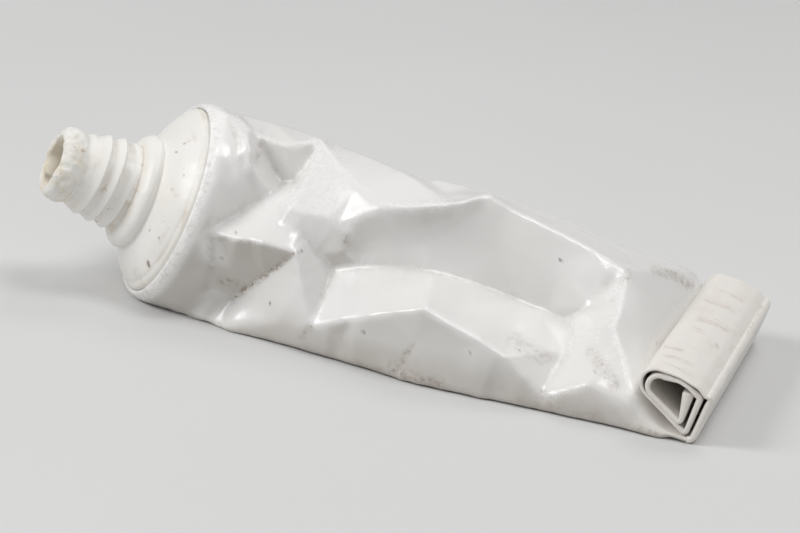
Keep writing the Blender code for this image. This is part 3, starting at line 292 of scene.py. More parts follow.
def crease_cloud(plain, normal):
    """All crease points: s, w, position, height over the plain sleeve, share of flatness, fold radius."""
    pts = {}
    facing = (normal * unit(SHEET_EYE - plain)).sum(-1)
    rear = np.where(facing < -0.35, 1e6, 0.0) + np.where(V_GRID[None, :] > 0.5, 0.0, 20.0 * np.clip(-facing, 0, 1))
    left, up = on_sheet(plain)
    for name, (a, b, y, r) in CREASE_POINTS.items():
        p = through_sheet(a, b, y)
        # of the plain wall, the spot both close to the point and in line with it on the sheet
        k = (((plain - p) ** 2).sum(-1) + 3.0 * ((left - a) ** 2 + (up - b) ** 2) + rear).argmin()
        i, j = k // NV_GRID, k % NV_GRID
        i = min(max(i, 1), len(S_GRID) - 2)
        du = 0.5 * (plain[i + 1, j] - plain[i - 1, j])
        dv = 0.5 * (plain[i, (j + 1) % NV_GRID] - plain[i, j - 1])
        off = p - plain[i, j]
        di, dj = np.clip(off @ du / (du @ du), -1, 1), np.clip(off @ dv / (dv @ dv), -1, 1)
        s, w = S_GRID[i] + di * GRID, ((j + dj) / NV_GRID % 1.0) * GIRTH
        pts[name] = np.array([s, w, *p, off @ normal[i, j], fade(s, 2.5, 6.5) * fade(-s, -103.0, -99.0), r])

    def on_plain(s, w, h, r):
        i, j = int(round(np.clip(s, 0, S_END) / GRID)), int(round(w / GIRTH * NV_GRID)) % NV_GRID
        i = min(i, len(S_GRID) - 1)
        return np.array([s, w, *(plain[i, j] + h * normal[i, j]), h, 0.0, r])
    for (s, v), (h, r) in FAR_POINTS.items():
        pts[(s, v)] = on_plain(s, v * GIRTH, h, r)
    cloud = list(pts.values())
    lines = []
    for chain in CREASE_LINES:
        names = chain.split()
        lines += list(zip(names[:-1], names[1:]))
    lines += FAR_LINES
    for p, q in ((pts[m], pts[n]) for m, n in lines):
        step = q - p
        step[1] = (step[1] + GIRTH / 2) % GIRTH - GIRTH / 2
        n = int(math.hypot(step[0], step[1]) // 2.0)
        for k in range(1, n + 1):
            f = k / (n + 1)
            c = p + step * f
            c[1] %= GIRTH
            c[7] = min(p[7], q[7]) + 0.25 * math.sin(math.pi * f)
            cloud.append(c)
    for w in np.arange(0, GIRTH, 5.0):       # the sleeve stays round at the head and flat at the roll
        cloud += [on_plain(s, w, 0.0, r) for s, r in ((-2.0, 1.0), (1.0, 0.8), (2.5, 0.8), (104.0, 1.0), (108.0, 1.0))]
    for s in np.arange(10.0, 104.0, 6.0):    # and flat underneath
        cloud += [on_plain(s, v * GIRTH, 0.0, 1.5) for v in (0.62, 0.68, 0.74, 0.80)]
    c = np.array(cloud)
    c = np.vstack([c, c + np.eye(8)[1] * GIRTH, c - np.eye(8)[1] * GIRTH])
    c = c[(c[:, 1] > -24) & (c[:, 1] < GIRTH + 24)]
    _, keep = np.unique(np.round(c[:, :2] / 0.3).astype(int), axis=0, return_index=True)
    return c[np.sort(keep)]


def blur(img, sigma):
    n = max(1, int(round(3 * sigma)))
    k = np.exp(-0.5 * (np.arange(-n, n + 1) / sigma) ** 2)
    k /= k.sum()
    for axis in (0, 1):
        pad = [(0, 0)] * img.ndim
        pad[axis] = (n, n)
        p = np.pad(img, pad, mode="edge")
        m = img.shape[axis]
        img = sum(k[i] * np.take(p, range(i, i + m), axis=axis) for i in range(2 * n + 1))
    return img


def relief(plain, normal, softest=0.3, crisp=1.0):
    """How far each point of the wall is moved by the dents, on the (s, v) grid: flat facets between creases."""
    c = crease_cloud(plain, normal)
    got = delaunay_2d_cdt([Vector((float(p[0]), float(p[1]))) for p in c], [], [], 0, 1e-4)
    xy = np.array([tuple(q) for q in got[0]])
    val = np.array([c[ids[0], 2:] for ids in got[3]])
    margin = 50
    wv = (np.arange(NV_GRID + 2 * margin) - margin) * GIRTH / NV_GRID
    dw = GIRTH / NV_GRID
    out = np.zeros((len(S_GRID), len(wv), 6))
    for tri in got[2]:
        t = xy[list(tri)]
        i0, i1 = np.searchsorted(S_GRID, [t[:, 0].min() - 1e-9, t[:, 0].max() + 1e-9])
        j0 = max(0, int(math.ceil((t[:, 1].min() - wv[0]) / dw - 1e-9)))
        j1 = min(len(wv), int(math.floor((t[:, 1].max() - wv[0]) / dw + 1e-9)) + 1)
        if i1 <= i0 or j1 <= j0:
            continue
        s, w = np.meshgrid(S_GRID[i0:i1], wv[j0:j1], indexing="ij")
        det = (t[1, 0] - t[0, 0]) * (t[2, 1] - t[0, 1]) - (t[2, 0] - t[0, 0]) * (t[1, 1] - t[0, 1])
        if abs(det) < 1e-9:
            continue
        l1 = ((s - t[0, 0]) * (t[2, 1] - t[0, 1]) - (w - t[0, 1]) * (t[2, 0] - t[0, 0])) / det
        l2 = ((w - t[0, 1]) * (t[1, 0] - t[0, 0]) - (s - t[0, 0]) * (t[1, 1] - t[0, 1])) / det
        inside = (l1 > -1e-6) & (l2 > -1e-6) & (l1 + l2 < 1 + 1e-6)
        q = val[list(tri)]
        out[i0:i1, j0:j1][inside] = (q[0] + l1[..., None] * (q[1] - q[0]) + l2[..., None] * (q[2] - q[0]))[inside]
    wrap = (np.arange(len(wv)) - margin) % NV_GRID
    base, up = plain[:, wrap], normal[:, wrap]
    f = out[..., 4:5]
    move = f * (out[..., :3] - base) + (1 - f) * out[..., 3:4] * up
    sigmas = [0.3, 0.6, 1.2, 2.4]
    soft = np.stack([blur(move, g / GRID) for g in sigmas])
    lev = np.log2(np.clip(out[..., 5:] * crisp, max(softest, 0.3), 2.39) / 0.3)
    i = np.clip(lev.astype(int), 0, 2)
    f = lev - i
    lo = np.take_along_axis(soft, i[None], 0)[0]
    hi = np.take_along_axis(soft, (i + 1)[None], 0)[0]
    return (lo * (1 - f) + hi * f)[:, margin:margin + NV_GRID]


# ------------------------------------------------------------------ rolled tail
# The flattened tail is rolled up in a rounded triangle. Its middle line in the x-z plane, from the bottom fold
# inwards: x, z, radius of the fold there, half thickness of the double wall just before it.
ROLL_LINE = [
    (0.83, 0.60, 1.15, 0.60),        # bottom fold, where the sleeve leaves the floor
    (2.60, 7.00, 3.00, 0.60),
    (3.24, 9.05, 0.50, 0.47),        # bead along the right edge
    (2.26, 8.72, 0.55, 0.36),        # groove behind the bead
    (0.75, 10.10, 2.50, 0.27),       # bowed flap on top
    (-2.60, 11.38, 8.00, 0.27),
    (-16.20, 13.20, 2.62, 0.28),     # wide left fold
    (-0.40, 1.47, 0.55, 0.45),       # second bottom fold
    (1.22, 8.30, 0.60, 0.55),        # second right fold
    (-0.85, 9.80, 2.00, 0.36),
    (-2.60, 10.52, 2.00, 0.36),
    (-5.20, 10.70, 5.00, 0.56),
    (-13.45, 11.78, 2.0, 0.46),      # second left fold
    (-1.50, 3.10, 0.52, 0.46),       # third bottom fold
    (-0.95, 8.40, 0.00, 1.02),       # the crimped end stands up inside
]
ROLL_TIP = [(0.22, 0.92), (0.38, 0.55)]      # rounding of the crimped end: further on, half thickness


def roll_path(per_corner=6, per_side=3):
    """Middle line of the double wall past the bottom fold: points, headings (radians), half thickness."""
    corners = [np.array([0.0, 0.60])] + [np.array(c[:2]) for c in ROLL_LINE]
    radii = [0.0] + [c[2] for c in ROLL_LINE]
    half = [0.60] + [c[3] for c in ROLL_LINE]
    pts, ang, thick = [], [], []
    last = corners[0]
    for k in range(1, len(corners)):
        d0 = unit(corners[k] - corners[k - 1])
        a0 = math.atan2(d0[1], d0[0])
        turn, start = 0.0, corners[k]
        if k < len(corners) - 1:
            d1 = unit(corners[k + 1] - corners[k])
            turn = (math.atan2(d1[1], d1[0]) - a0 + math.pi) % (2 * math.pi) - math.pi
            start = corners[k] - d0 * radii[k] * math.tan(abs(turn) / 2)
        run = np.linalg.norm(start - last)
        steps = max(1, int(round(per_side * run / 3.0)))
        if run > 1e-3:
            for q in range(1, steps + 1):
                f = q / steps
                pts.append(last + (start - last) * f)
                ang.append(a0)
                thick.append(half[k - 1] + (half[k] - half[k - 1]) * f)
        if turn:
            side = math.copysign(1.0, turn)
            centre = start + side * radii[k] * np.array([-d0[1], d0[0]])
            n = max(2, int(round(per_corner * abs(turn) / 2.0)))
            for q in range(1, n + 1):
                a = a0 + turn * q / n
                pts.append(centre + side * radii[k] * np.array([math.sin(a), -math.cos(a)]))
                ang.append(a)
                thick.append(half[k])
            last = pts[-1]
    for along, t in ROLL_TIP:
        pts.append(start + d0 * along)
        ang.append(a0)
        thick.append(t)
    return np.array(pts), np.array(ang), np.array(thick)


def stadium(half_w, half_t, v):
    """Flattened sleeve section by arc length, same order as section()."""
    length = 4 * (half_w - half_t) + 2 * math.pi * half_t
    d = (v % 1.0) * length
    quarter = length / 4
    m = np.where(d < 2 * quarter, d, length - d)           # distance from the near tip along either face
    side = np.where(d < 2 * quarter, 1.0, -1.0)
    n = np.where(m > quarter, 2 * quarter - m, m)          # distance from the closest tip
    end = np.where(m > quarter, 1.0, -1.0)
    arc = math.pi * half_t / 2
    phi = np.clip(n / half_t, 0, math.pi / 2)
    x = np.where(n < arc, (half_w - half_t) + half_t * np.cos(phi), (half_w - half_t) - (n - arc))
    z = np.where(n < arc, half_t * np.sin(phi), half_t)
    return end * x, side * z


# ------------------------------------------------------------------ head
# Outer line of the moulded head: distance out from the shoulder disc, radius.
LIP_A = 22.0
BORE_R = 4.55
LIP_LINE = [(22.0, 4.75), (22.0, 5.6), (21.75, 6.1), (21.2, 6.5), (20.4, 6.72), (19.3, 6.86), (18.4, 6.78), (17.8, 6.5), (17.4, 6.3)]
NECK_TOP, NECK_END = 17.4, 7.9
COLLAR_LINE = [(7.75, 8.15), (7.45, 8.9), (7.05, 9.65), (6.6, 10.2), (6.1, 10.5), (5.6, 10.62), (5.15, 10.52), (4.85, 10.35),
               (4.6, 10.55), (3.6, 12.35), (2.4, 14.45), (1.1, 16.2), (0.35, 17.05), (0.1, 17.3)]
INSIDE_LINE = [(-0.5, 17.4), (-2.1, 17.4), (-2.1, 16.2), (-0.9, 15.7), (0.2, 14.9), (1.6, 12.9), (2.9, 10.6), (3.7, 8.4), (4.3, 6.2),
               (5.0, 5.0), (6.2, BORE_R), (10.0, BORE_R), (14.5, BORE_R), (19.0, BORE_R), (21.3, BORE_R), (21.8, 4.6)]
THREAD_PITCH = 2.72


def neck_radius(a, th):
    """Threaded neck; th = 0 far side, 90 up, 180 near side, degrees."""
    root = np.interp(a, [7.9, 8.6, 11.2, 14.0, 16.2, 17.4], [7.75, 7.6, 7.5, 7.25, 6.85, 6.3])
    turn = ((90.0 - th) % 360.0) / 360.0                   # 0 at the top, growing towards the far side
    best = np.zeros_like(a)
    for k in range(-1, 5):
        crest = 16.35 - THREAD_PITCH * (k + turn)
        fade = np.clip((16.6 - crest) / 1.0, 0, 1) * np.clip((crest - 8.2) / 0.9, 0, 1)
        d = a - crest
        rise = np.where(d > 0, np.clip(1 - d / 1.75, 0, 1) ** 1.3, np.clip(1 + d / 0.5, 0, 1))
        best = np.maximum(best, rise * fade * np.interp(crest, [8.5, 10, 15], [0.8, 0.8, 0.5]))
    # the thread runs out in a step beside the collar: filled above the ledge, bare below it
    up = np.clip((186.0 - th) / 4.0, 0, 1) * np.clip((th - 20.0) / 40.0, 0, 1)
    fill = 0.42 * up * np.clip((a - 7.4) / 0.3, 0, 1) * np.clip((9.3 - a) / 0.5, 0, 1)
    return root + np.maximum(best, fill)


def head_point(a, r, th):
    """A point of the head from distance out, radius and angle in degrees."""
    t = np.radians(th)
    off = LEAN * np.clip(a / 5.0, 0, 1) ** 2 * (3 - 2 * np.clip(a / 5.0, 0, 1))
    return (HEAD_AT + a[..., None] * HEAD_N + (r * np.cos(t))[..., None] * HEAD_W
            + (r * np.sin(t) + off)[..., None] * HEAD_U)


# ------------------------------------------------------------------ noise
def lattice(i, j, k, seed):
    """A repeatable value from 0 to 1 for each whole-number cell."""
    h = (i.astype(np.int64) * 374761393 + j.astype(np.int64) * 668265263 + k.astype(np.int64) * 2147483647
         + seed * 1274126177) & 0xFFFFFFFF
    h = ((h ^ (h >> 13)) * 1103515245) & 0xFFFFFFFF
    h = ((h ^ (h >> 16)) * 2654435761) & 0xFFFFFFFF
    return (h ^ (h >> 15)).astype(np.float64) / 4294967295.0


def noise(p, scale, seed=0):
    """Smooth noise from -1 to 1 at points p (n, 3), one lump per scale mm."""
    q = p / scale
    c = np.floor(q)
    f = q - c
    f = f * f * f * (f * (f * 6 - 15) + 10)
    i, j, k = c[..., 0], c[..., 1], c[..., 2]
    out = 0
    for a in (0, 1):
        for b in (0, 1):
            for d in (0, 1):
                w = ((f[..., 0] if a else 1 - f[..., 0]) * (f[..., 1] if b else 1 - f[..., 1])
                     * (f[..., 2] if d else 1 - f[..., 2]))
                out = out + w * lattice(i + a, j + b, k + d, seed)
    return out * 2 - 1


def fractal(p, scale, seed=0, octaves=3):
    out, amp, norm = 0, 1.0, 0.0
    for n in range(octaves):
        out = out + amp * noise(p, scale / 2**n, seed + 17 * n)
        norm += amp
        amp *= 0.5
    return out / norm


# ------------------------------------------------------------------ sleeve mesh
def loop_faces(start, rings, n, flip=False):
    i = np.arange(rings - 1)[:, None] * n + start
    j = np.arange(n)[None, :]
    j2 = (j + 1) % n
    q = np.stack([i + j, i + j2, i + n + j2, i + n + j], -1).reshape(-1, 4)
    return q[:, ::-1] if flip else q


def close_flat(points, ring, flip=False):
    """Close a flat ring: zip the upper chain to the lower one along the widest direction."""
    n = len(ring)
    far = int(np.argmax(np.linalg.norm(points[ring] - points[ring[0]], axis=1)))
    up = [ring[j] for j in range(0, far + 1)]
    low = [ring[0]] + [ring[j] for j in range(n - 1, far - 1, -1)]
    ax = unit(points[ring[far]] - points[ring[0]])
    fu, fl = (points[up] - points[ring[0]]) @ ax, (points[low] - points[ring[0]]) @ ax
    a = b = 0
    faces = []
    while a < len(up) - 1 or b < len(low) - 1:
        if b == len(low) - 1 or (a < len(up) - 1 and fu[a + 1] <= fl[b + 1]):
            t = (up[a], up[a + 1], low[b])
            a += 1
        else:
            t = (up[a], low[b + 1], low[b])
            b += 1
        if len(set(t)) == 3:
            faces.append(t[::-1] if flip else t)
    return faces


def make_object(name, points, quads, tris, smooth_angle=None):
    me = bpy.data.meshes.new(name)
    faces = [tuple(int(v) for v in f) for f in quads] + [tuple(int(v) for v in f) for f in tris]
    off = np.array([ORIGIN[0], ORIGIN[1], 0.0])
    me.from_pydata(((points - off) * MM).tolist(), [], faces)
    me.update()
    me.shade_smooth()
    ob = bpy.data.objects.new(name, me)
    bpy.context.scene.collection.objects.link(ob)
    return ob


def attribute(ob, name, values):
    a = ob.data.attributes.new(name, "FLOAT", "POINT")
    a.data.foreach_set("value", np.asarray(values, np.float32).ravel())


def sleeve_columns():
    """Share of the way round of each lengthwise line: fine on the near side and the tips, coarse underneath."""
    tip = np.array([0, 0.12, 0.26, 0.42, 0.6, 0.8, 1.05, 1.35, 1.7, 2.05])
    half = 59.7
    upper = np.concatenate([tip, np.linspace(2.45, half - 2.45, 130), half - tip[:0:-1]])
    lower = np.concatenate([tip, np.linspace(2.5, 12.0, 16)[0:-1], np.linspace(12.0, 44.0, 22)[0:-1],
                            np.linspace(44.0, half - 2.45, 26), half - tip[:0:-1]])
    return np.concatenate([upper, half + lower]) / (2 * half)


def sample(grid, ss, v):
    i = np.clip((ss / GRID).astype(int), 0, len(S_GRID) - 2)
    fi = (ss / GRID - i)[:, None, None]
    x = v * NV_GRID
    j = np.floor(x).astype(int)
    fj = (x - j)[None, :, None]
    j0, j1 = j % NV_GRID, (j + 1) % NV_GRID
    a = grid[i][:, j0] * (1 - fj) + grid[i][:, j1] * fj
    b = grid[i + 1][:, j0] * (1 - fj) + grid[i + 1][:, j1] * fj
    return a * (1 - fi) + b * fi


MARKS = {
    "scuff": [
        (1.5, 0.4, [(-34.5, 28.8), (-34.0, 24.8), (-34.0, 19.4), (-34.7, 14.8), (-35.8, 11.5), (-37.1, 8.8), (-38.5, 5.5), (-40.2, 2.6), (-41.8, 0.1), (-43.6, -2.5), (-45.5, -5.0)]),
        (1.6, 0.9, [(-32.4, 28.1), (-30.5, 26.6), (-28.9, 24.6), (-27.6, 22.6), (-27.1, 20.6), (-27.1, 17.9)]),
        (1.6, 0.85, [(-14.4, 23.2), (-15.3, 20.3), (-16.5, 17.9), (-17.8, 15.4), (-19.1, 12.8), (-20.2, 10.6)]),
        (4.7, 0.55, [(-13.1, 19.7), (-12.7, 14.8), (-13.5, 11.2)]),
        (1.1, 0.8, [(-20.2, 10.6), (-16.4, 9.9), (-12.7, 8.8), (-9.6, 5.5)]),
        (0.91, 0.7, [(-20.2, 10.6), (-18.7, 7.5), (-17.3, 5.2), (-14.7, 2.1), (-12.0, -0.3)]),
        (1.3, 0.7, [(-9.6, 5.5), (-7.3, 9.0), (-3.6, 10.5), (0.0, 10.8), (4.5, 11.0), (9.1, 11.4)]),
        (1.3, 0.8, [(29.6, -9.4), (31.3, -11.9), (30.4, -14.5)]),
        (0.91, 0.7, [(41.5, -1.0), (39.3, -3.4), (37.5, -5.7)]),
        (0.91, 0.8, [(40.4, -4.3), (39.8, -7.5), (38.5, -10.6), (39.3, -13.7), (40.4, -16.3), (41.8, -20.6), (43.6, -24.3)]),
        (0.91, 0.5, [(29.1, -22.5), (34.2, -21.2), (36.4, -18.5), (38.2, -15.5)]),
        (0.73, 0.5, [(-35.3, 6.6), (-28.5, 4.8), (-22.2, 3.5), (-19.1, 2.5)]),
        (0.73, 0.5, [(-35.3, 6.6), (-28.7, 10.1), (-23.6, 13.2)]),
        (0.73, 0.6, [(-25.1, 23.5), (-20.0, 21.9), (-14.4, 23.2)]),
        (0.91, 0.6, [(45.5, -0.8), (49.5, -0.3), (52.7, -1.4)]),
        (0.64, 0.45, [(34.5, -7.9), (36.4, -12.5), (34.5, -17.4)]),
    ],
    "grime": [
        (0.65, 1, [(-19.6, 2.3), (-21.3, 0.8), (-23.6, -1.0), (-25.8, -2.6), (-28.2, -4.3), (-30.5, -6.1)]),
        (1.1, 0.62, [(-32.4, -2.5), (-30.5, -3.2), (-28.7, -3.9)]),
        (1.3, 0.62, [(-1.3, -18.1), (0.9, -19.7), (3.6, -20.5), (7.3, -21.2)]),
        (0.73, 0.7, [(-0.4, -19.0), (1.3, -20.1)]),
        (1.8, 0.36, [(20.9, -13.4), (23.6, -15.2), (26.4, -16.6)]),
        (1.5, 0.42, [(34.9, -15.5), (36.4, -17.9), (38.9, -21.4)]),
        (1.1, 0.6, [(46.4, -0.6), (49.5, -1.5), (52.7, -3.4)]),
        (1.1, 0.5, [(43.6, -29.7), (47.3, -31.5), (51.3, -32.6)]),
        (0.64, 0.28, [(-31.1, 26.6), (-29.5, 23.0), (-29.1, 19.0)]),
        (0.64, 0.4, [(-25.1, 23.0), (-26.0, 19.4)]),
        (0.91, 0.6, [(-16.2, -11.0), (-17.8, -12.6)]),
        (1.1, 0.35, [(-17.1, -14.8), (-10.0, -17.0), (-0.9, -19.9)]),
        (0.91, 0.6, [(41.5, -1.2), (40.7, -2.8)]),
        (0.73, 0.5, [(-0.4, -19.9), (0.7, -16.3), (2.2, -14.3)]),
        (1.1, 0.4, [(26.0, -23.2), (27.6, -25.0), (36.4, -27.2)]),
        (0.91, 0.3, [(-34.5, 4.8), (-34.2, 0.8), (-35.5, -4.3)]),
        (1.1, 0.5, [(-9.8, 5.2), (-10.9, 2.6)]),
        (0.91, 0.4, [(21.8, -24.3), (29.1, -26.1)]),
    ],
    "streak": [
        (0.29, 1, [(54.5, -9.4), (57.8, -10.8), (62.0, -12.6)]),
        (0.24, 0.9, [(52.7, -10.8), (55.6, -12.3)]),
        (0.33, 0.9, [(46.4, -13.9), (48.7, -14.6), (51.3, -15.2)]),
        (0.29, 0.9, [(48.0, -16.3), (50.2, -16.6), (52.7, -17.7)]),
        (0.24, 0.8, [(55.6, -6.1), (58.5, -7.2), (61.1, -8.3)]),
        (0.27, 0.7, [(49.5, -18.1), (52.7, -19.5)]),
        (0.24, 0.7, [(58.2, -4.3), (62.2, -6.1)]),
        (0.4, 0.6, [(53.5, -9.7), (56.7, -10.1), (60.0, -11.5)]),
        (0.22, 0.8, [(59.6, -15.5), (60.5, -14.3)]),
        (0.25, 0.8, [(64.7, -9.4), (65.8, -7.2)]),
        (0.29, 0.7, [(63.3, -11.9), (64.7, -9.4)]),
    ],
    "speck": [
        (0.31, 1, [(-32.4, 1.4)]),
        (0.29, 1, [(-23.6, -6.6)]),
        (0.27, 1, [(28.9, 1.2), (29.3, 1.0)]),
        (0.29, 1, [(-6.7, -11.9)]),
        (0.25, 1, [(56.5, -14.3)]),
        (0.25, 1, [(57.8, -14.5)]),
        (0.22, 0.8, [(-18.2, 2.6), (-17.8, 2.8)]),
        (0.24, 0.8, [(-29.8, 6.3)]),
        (0.22, 0.8, [(12.7, -15.5)]),
        (0.22, 0.7, [(38.5, -6.1)]),
        (0.24, 0.8, [(-2.0, -19.2)]),
        (0.22, 0.8, [(6.5, -20.6)]),
        (0.22, 0.8, [(21.8, -15.2)]),
        (0.22, 0.9, [(35.6, -19.2)]),
        (0.24, 0.9, [(-43.8, 5.2)]),
        (0.27, 0.9, [(-45.8, 0.8), (-45.6, 0.1)]),
        (0.24, 0.8, [(-40.7, 20.8)]),
        (0.22, 0.7, [(-39.3, 16.5)]),
        (0.22, 0.7, [(-45.5, 6.6)]),
    ],
    "stain": [
        (0.55, 0.6, [(-41.3, 13.9), (-40.5, 13.0)]),
        (0.36, 0.6, [(-46.0, 1.0), (-45.6, -0.3)]),
        (0.45, 0.35, [(-42.2, 7.0), (-43.6, 4.5)]),
        (0.55, 0.3, [(-37.8, 24.8), (-37.3, 23.0)]),
        (0.45, 0.35, [(-38.9, 9.9), (-40.4, 7.4)]),
        (0.73, 0.35, [(-48.2, -0.6), (-46.9, -3.5)]),
    ],
}


def marked(points, kind):
    """Strength from 0 to 1 of the strokes of one kind, laid out on the same sheet as the creases."""
    a, b = on_sheet(points)
    out = np.zeros(len(points))
    for half, strength, line in MARKS[kind]:
        line = line if len(line) > 1 else line * 2
        near = np.full(len(points), 1e9)
        for (x0, y0), (x1, y1) in zip(line[:-1], line[1:]):
            dx, dy = x1 - x0, y1 - y0
            t = np.clip(((a - x0) * dx + (b - y0) * dy) / max(dx * dx + dy * dy, 1e-9), 0, 1)
            near = np.minimum(near, np.hypot(a - x0 - t * dx, b - y0 - t * dy))
        out = np.maximum(out, strength * fade(1.15 - near / half, 0.0, 0.8))
    return out


def toward_sheet(grid):
    """1 where a grid of points faces the sheet, 0 where it faces away."""
    n = grid_normals(grid)
    v = SHEET_EYE - grid
    return fade((n * v).sum(-1) / np.linalg.norm(v, axis=-1), 0.02, 0.2)


def wrapped_blur(grid, sigma):
    pad = [(0, 0), (20, 20)] + [(0, 0)] * (grid.ndim - 2)
    return blur(np.pad(grid, pad, mode="wrap"), sigma)[:, 20:-20]


def build_sleeve():
    v = sleeve_columns()
    n = len(v)
    body = np.concatenate([[0, 0.3, 0.6, 0.95, 1.35, 1.8, 2.3, 2.8], np.linspace(3.3, S_END, 218)])
    plain = plain_sleeve(S_GRID, V_GRID)
    normal = grid_normals(plain)
    dented = on_floor(plain + relief(plain, normal, softest=0.3, crisp=0.7))
    fine_n = grid_normals(dented)
    hump = ((dented - wrapped_blur(dented, 3.0)) * fine_n).sum(-1)
    outside = sample(dented, body, v)
    out_n = sample(fine_n, body, v)
    waves = (0.045 * fractal(outside, 11.0, 3, 2) + 0.008 * noise(outside, 2.6, 5)
             + 0.025 * fade(4.0 - body, 0.0, 3.0)[:, None] * noise(outside, 1.5, 9))
    waves = waves * fade(outside[..., 2], 0.0, 1.2) * fade(S_END - body, 0.0, 6.0)[:, None]
    outside = outside + waves[..., None] * out_n

    pts, ang, thick = roll_path(per_corner=13, per_side=4)
    roll = np.zeros((len(pts), n, 3))
    for i, (p, a, t) in enumerate(zip(pts, ang, thick)):
        here = np.array([[p[0], p[1], 0.0]])
        y, hh = stadium(FLAT_HALF + 0.16 * float(noise(here, 5.0, 21)[0]) * fade(i, 10, 30), t, v)
        # each turn is a little wavy along its length
        wave = 0.05 * noise(np.stack([np.full(n, i * 0.06), y, np.zeros(n)], -1), 7.0, 31) * fade(i, 4, 20)
        roll[i, :, 0] = p[0] - math.sin(a) * (hh + wave)
        roll[i, :, 1] = y
        roll[i, :, 2] = p[1] + math.cos(a) * (hh + wave)
    outer = np.vstack([outside, roll])
    # a simpler inner skin, kept well inside the deepest dents
    m = 90
    vi = np.arange(m) / m
    si = np.concatenate([[0.0], np.arange(1.6, 96.0, 1.6)])
    soft = plain + wrapped_blur(dented - plain, 6.0)
    soft_n = grid_normals(soft)
    low = ((dented - soft) * soft_n).sum(-1)
    for axis in (0, 1):
        keep = low.copy()
        for r in range(1, 6):
            a, b = np.roll(keep, r, axis), np.roll(keep, -r, axis)
            if axis == 0:
                a[:r], b[-r:] = keep[:r], keep[-r:]
            low = np.minimum(low, np.minimum(a, b))
    low = wrapped_blur(low, 3.0)
    inside = sample(soft + (low - 0.75)[..., None] * soft_n, si, vi)
    inside[..., 2] = np.maximum(inside[..., 2], 0.5)
    no, ni = len(outer), len(si)
    points = np.vstack([outer.reshape(-1, 3), inside.reshape(-1, 3)])
    quads = [loop_faces(0, no, n, flip=True), loop_faces(no * n, ni, m)]
    # shoulder edge: stitch the fine outer ring to the plain inner one
    tris = []
    a, b = 0, 0
    while a < n or b < m:
        va = v[a + 1] if a + 1 < n else 1.0 if a + 1 == n else 2
        vb = (b + 1) / m if b < m else 2
        if b == m or (a < n and va <= vb):
            tris.append((a % n, (a + 1) % n, no * n + b % m))
            a += 1
        else:
            tris.append((a % n, no * n + (b + 1) % m, no * n + b % m))
            b += 1
    tris += close_flat(points, [(no - 1) * n + j for j in range(n)], flip=True)
    tris += close_flat(points, [no * n + (ni - 1) * m + j for j in range(m)], flip=False)
    ob = make_object("sleeve_skin", points, np.vstack(quads), tris)
    # where dirt and wear sit, and where shade is painted underneath
    rest = np.zeros(ni * m)
    facing = toward_sheet(outer)
    hp = sample(hump[..., None], body, v)[..., 0]
    hp = np.vstack([hp, np.zeros((len(pts), n))])
    flat = outer.reshape(-1, 3)
    patch = fractal(flat, 11.0, 41).reshape(outer.shape[:2])
    away = 1 - facing
    edge = np.concatenate([fade(3.6 - body, 0.0, 2.4), np.zeros(len(pts))])[:, None]
    tail = np.concatenate([fade(body, 92.0, 103.0), np.ones(len(pts))])[:, None] * np.ones((1, n))
    ridge = fade(hp, 0.05, 0.32)
    valley = fade(-hp, 0.06, 0.35)
    scuff = np.maximum(marked(flat, "scuff").reshape(facing.shape) * facing, away * np.maximum(ridge, 0.35 * fade(patch, 0.25, 0.6)) * fade(patch, -0.3, 0.4))
    scuff = np.maximum(np.maximum(scuff, 0.12 * ridge), 0.35 * edge)
    grime = np.maximum(marked(flat, "grime").reshape(facing.shape) * facing, away * np.maximum(valley, 0.22 * fade(-patch, 0.3, 0.7)) * fade(np.abs(patch), -0.2, 0.5))
    grime = np.maximum(np.maximum(grime, 0.2 * valley), 0.25 * fade(edge, 0.6, 1.0))
    # painted shade: the down-facing walls and the foot near the floor are darkened where shade falls
    down_facing_shade = fade(-out_n[..., 2], -0.02, 0.34)
    near_floor_shade = fade(9.5 - outside[..., 2], 0.0, 7.5) * fade(0.42 - out_n[..., 2], 0.0, 0.45)
    painted_low_shade = np.vstack([np.maximum(down_facing_shade, 0.95 * near_floor_shade), np.zeros((len(pts), n))])
    rim = edge * np.ones((1, n))
    for key, val in (("scuff", scuff), ("grime", grime), ("painted_underside_shade", painted_low_shade), ("tail", tail), ("rim", rim),
                     ("streak", marked(flat, "streak").reshape(facing.shape) * facing),
                     ("speck", marked(flat, "speck").reshape(facing.shape) * facing)):
        attribute(ob, key, np.concatenate([np.clip(val, 0, 1).ravel(), rest]))
    return ob, outer, v


# ------------------------------------------------------------------ head mesh
LIP_FINE = [(21.4, 4.56), (21.7, 4.66), (21.9, 4.85), (21.98, 5.1), (21.95, 5.4), (21.85, 5.7), (21.65, 6.0), (21.4, 6.25),
            (21.05, 6.47), (20.6, 6.65), (20.1, 6.78), (19.5, 6.85), (18.9, 6.85), (18.4, 6.75), (18.0, 6.58), (17.7, 6.4), (17.45, 6.3)]


def curve_points(line, step):
    """Points along a smooth line through the given (a, r) points."""
    line = np.array(line, float)
    run = np.concatenate([[0], np.cumsum(np.hypot(*np.diff(line, axis=0).T))])
    n = max(2, int(round(run[-1] / step)))
    t = np.linspace(0, run[-1], n + 1)
    return hermite_free(run, line, t)


def hermite_free(xs, ys, x):
    """Catmull-Rom through the points."""
    m = np.gradient(ys, xs, axis=0)
    i = np.clip(np.searchsorted(xs, x, side="right") - 1, 0, len(xs) - 2)
    h, t = (xs[i + 1] - xs[i])[:, None], ((x - xs[i]) / (xs[i + 1] - xs[i]))[:, None]
    return ((2 * t**3 - 3 * t**2 + 1) * ys[i] + (t**3 - 2 * t**2 + t) * h * m[i]
            + (3 * t**2 - 2 * t**3) * ys[i + 1] + (t**3 - t**2) * h * m[i + 1])


def toward_head(points, normals):
    v = SHEET_EYE - points
    return fade((normals * v).sum(-1) / np.linalg.norm(v, axis=-1), 0.02, 0.2)


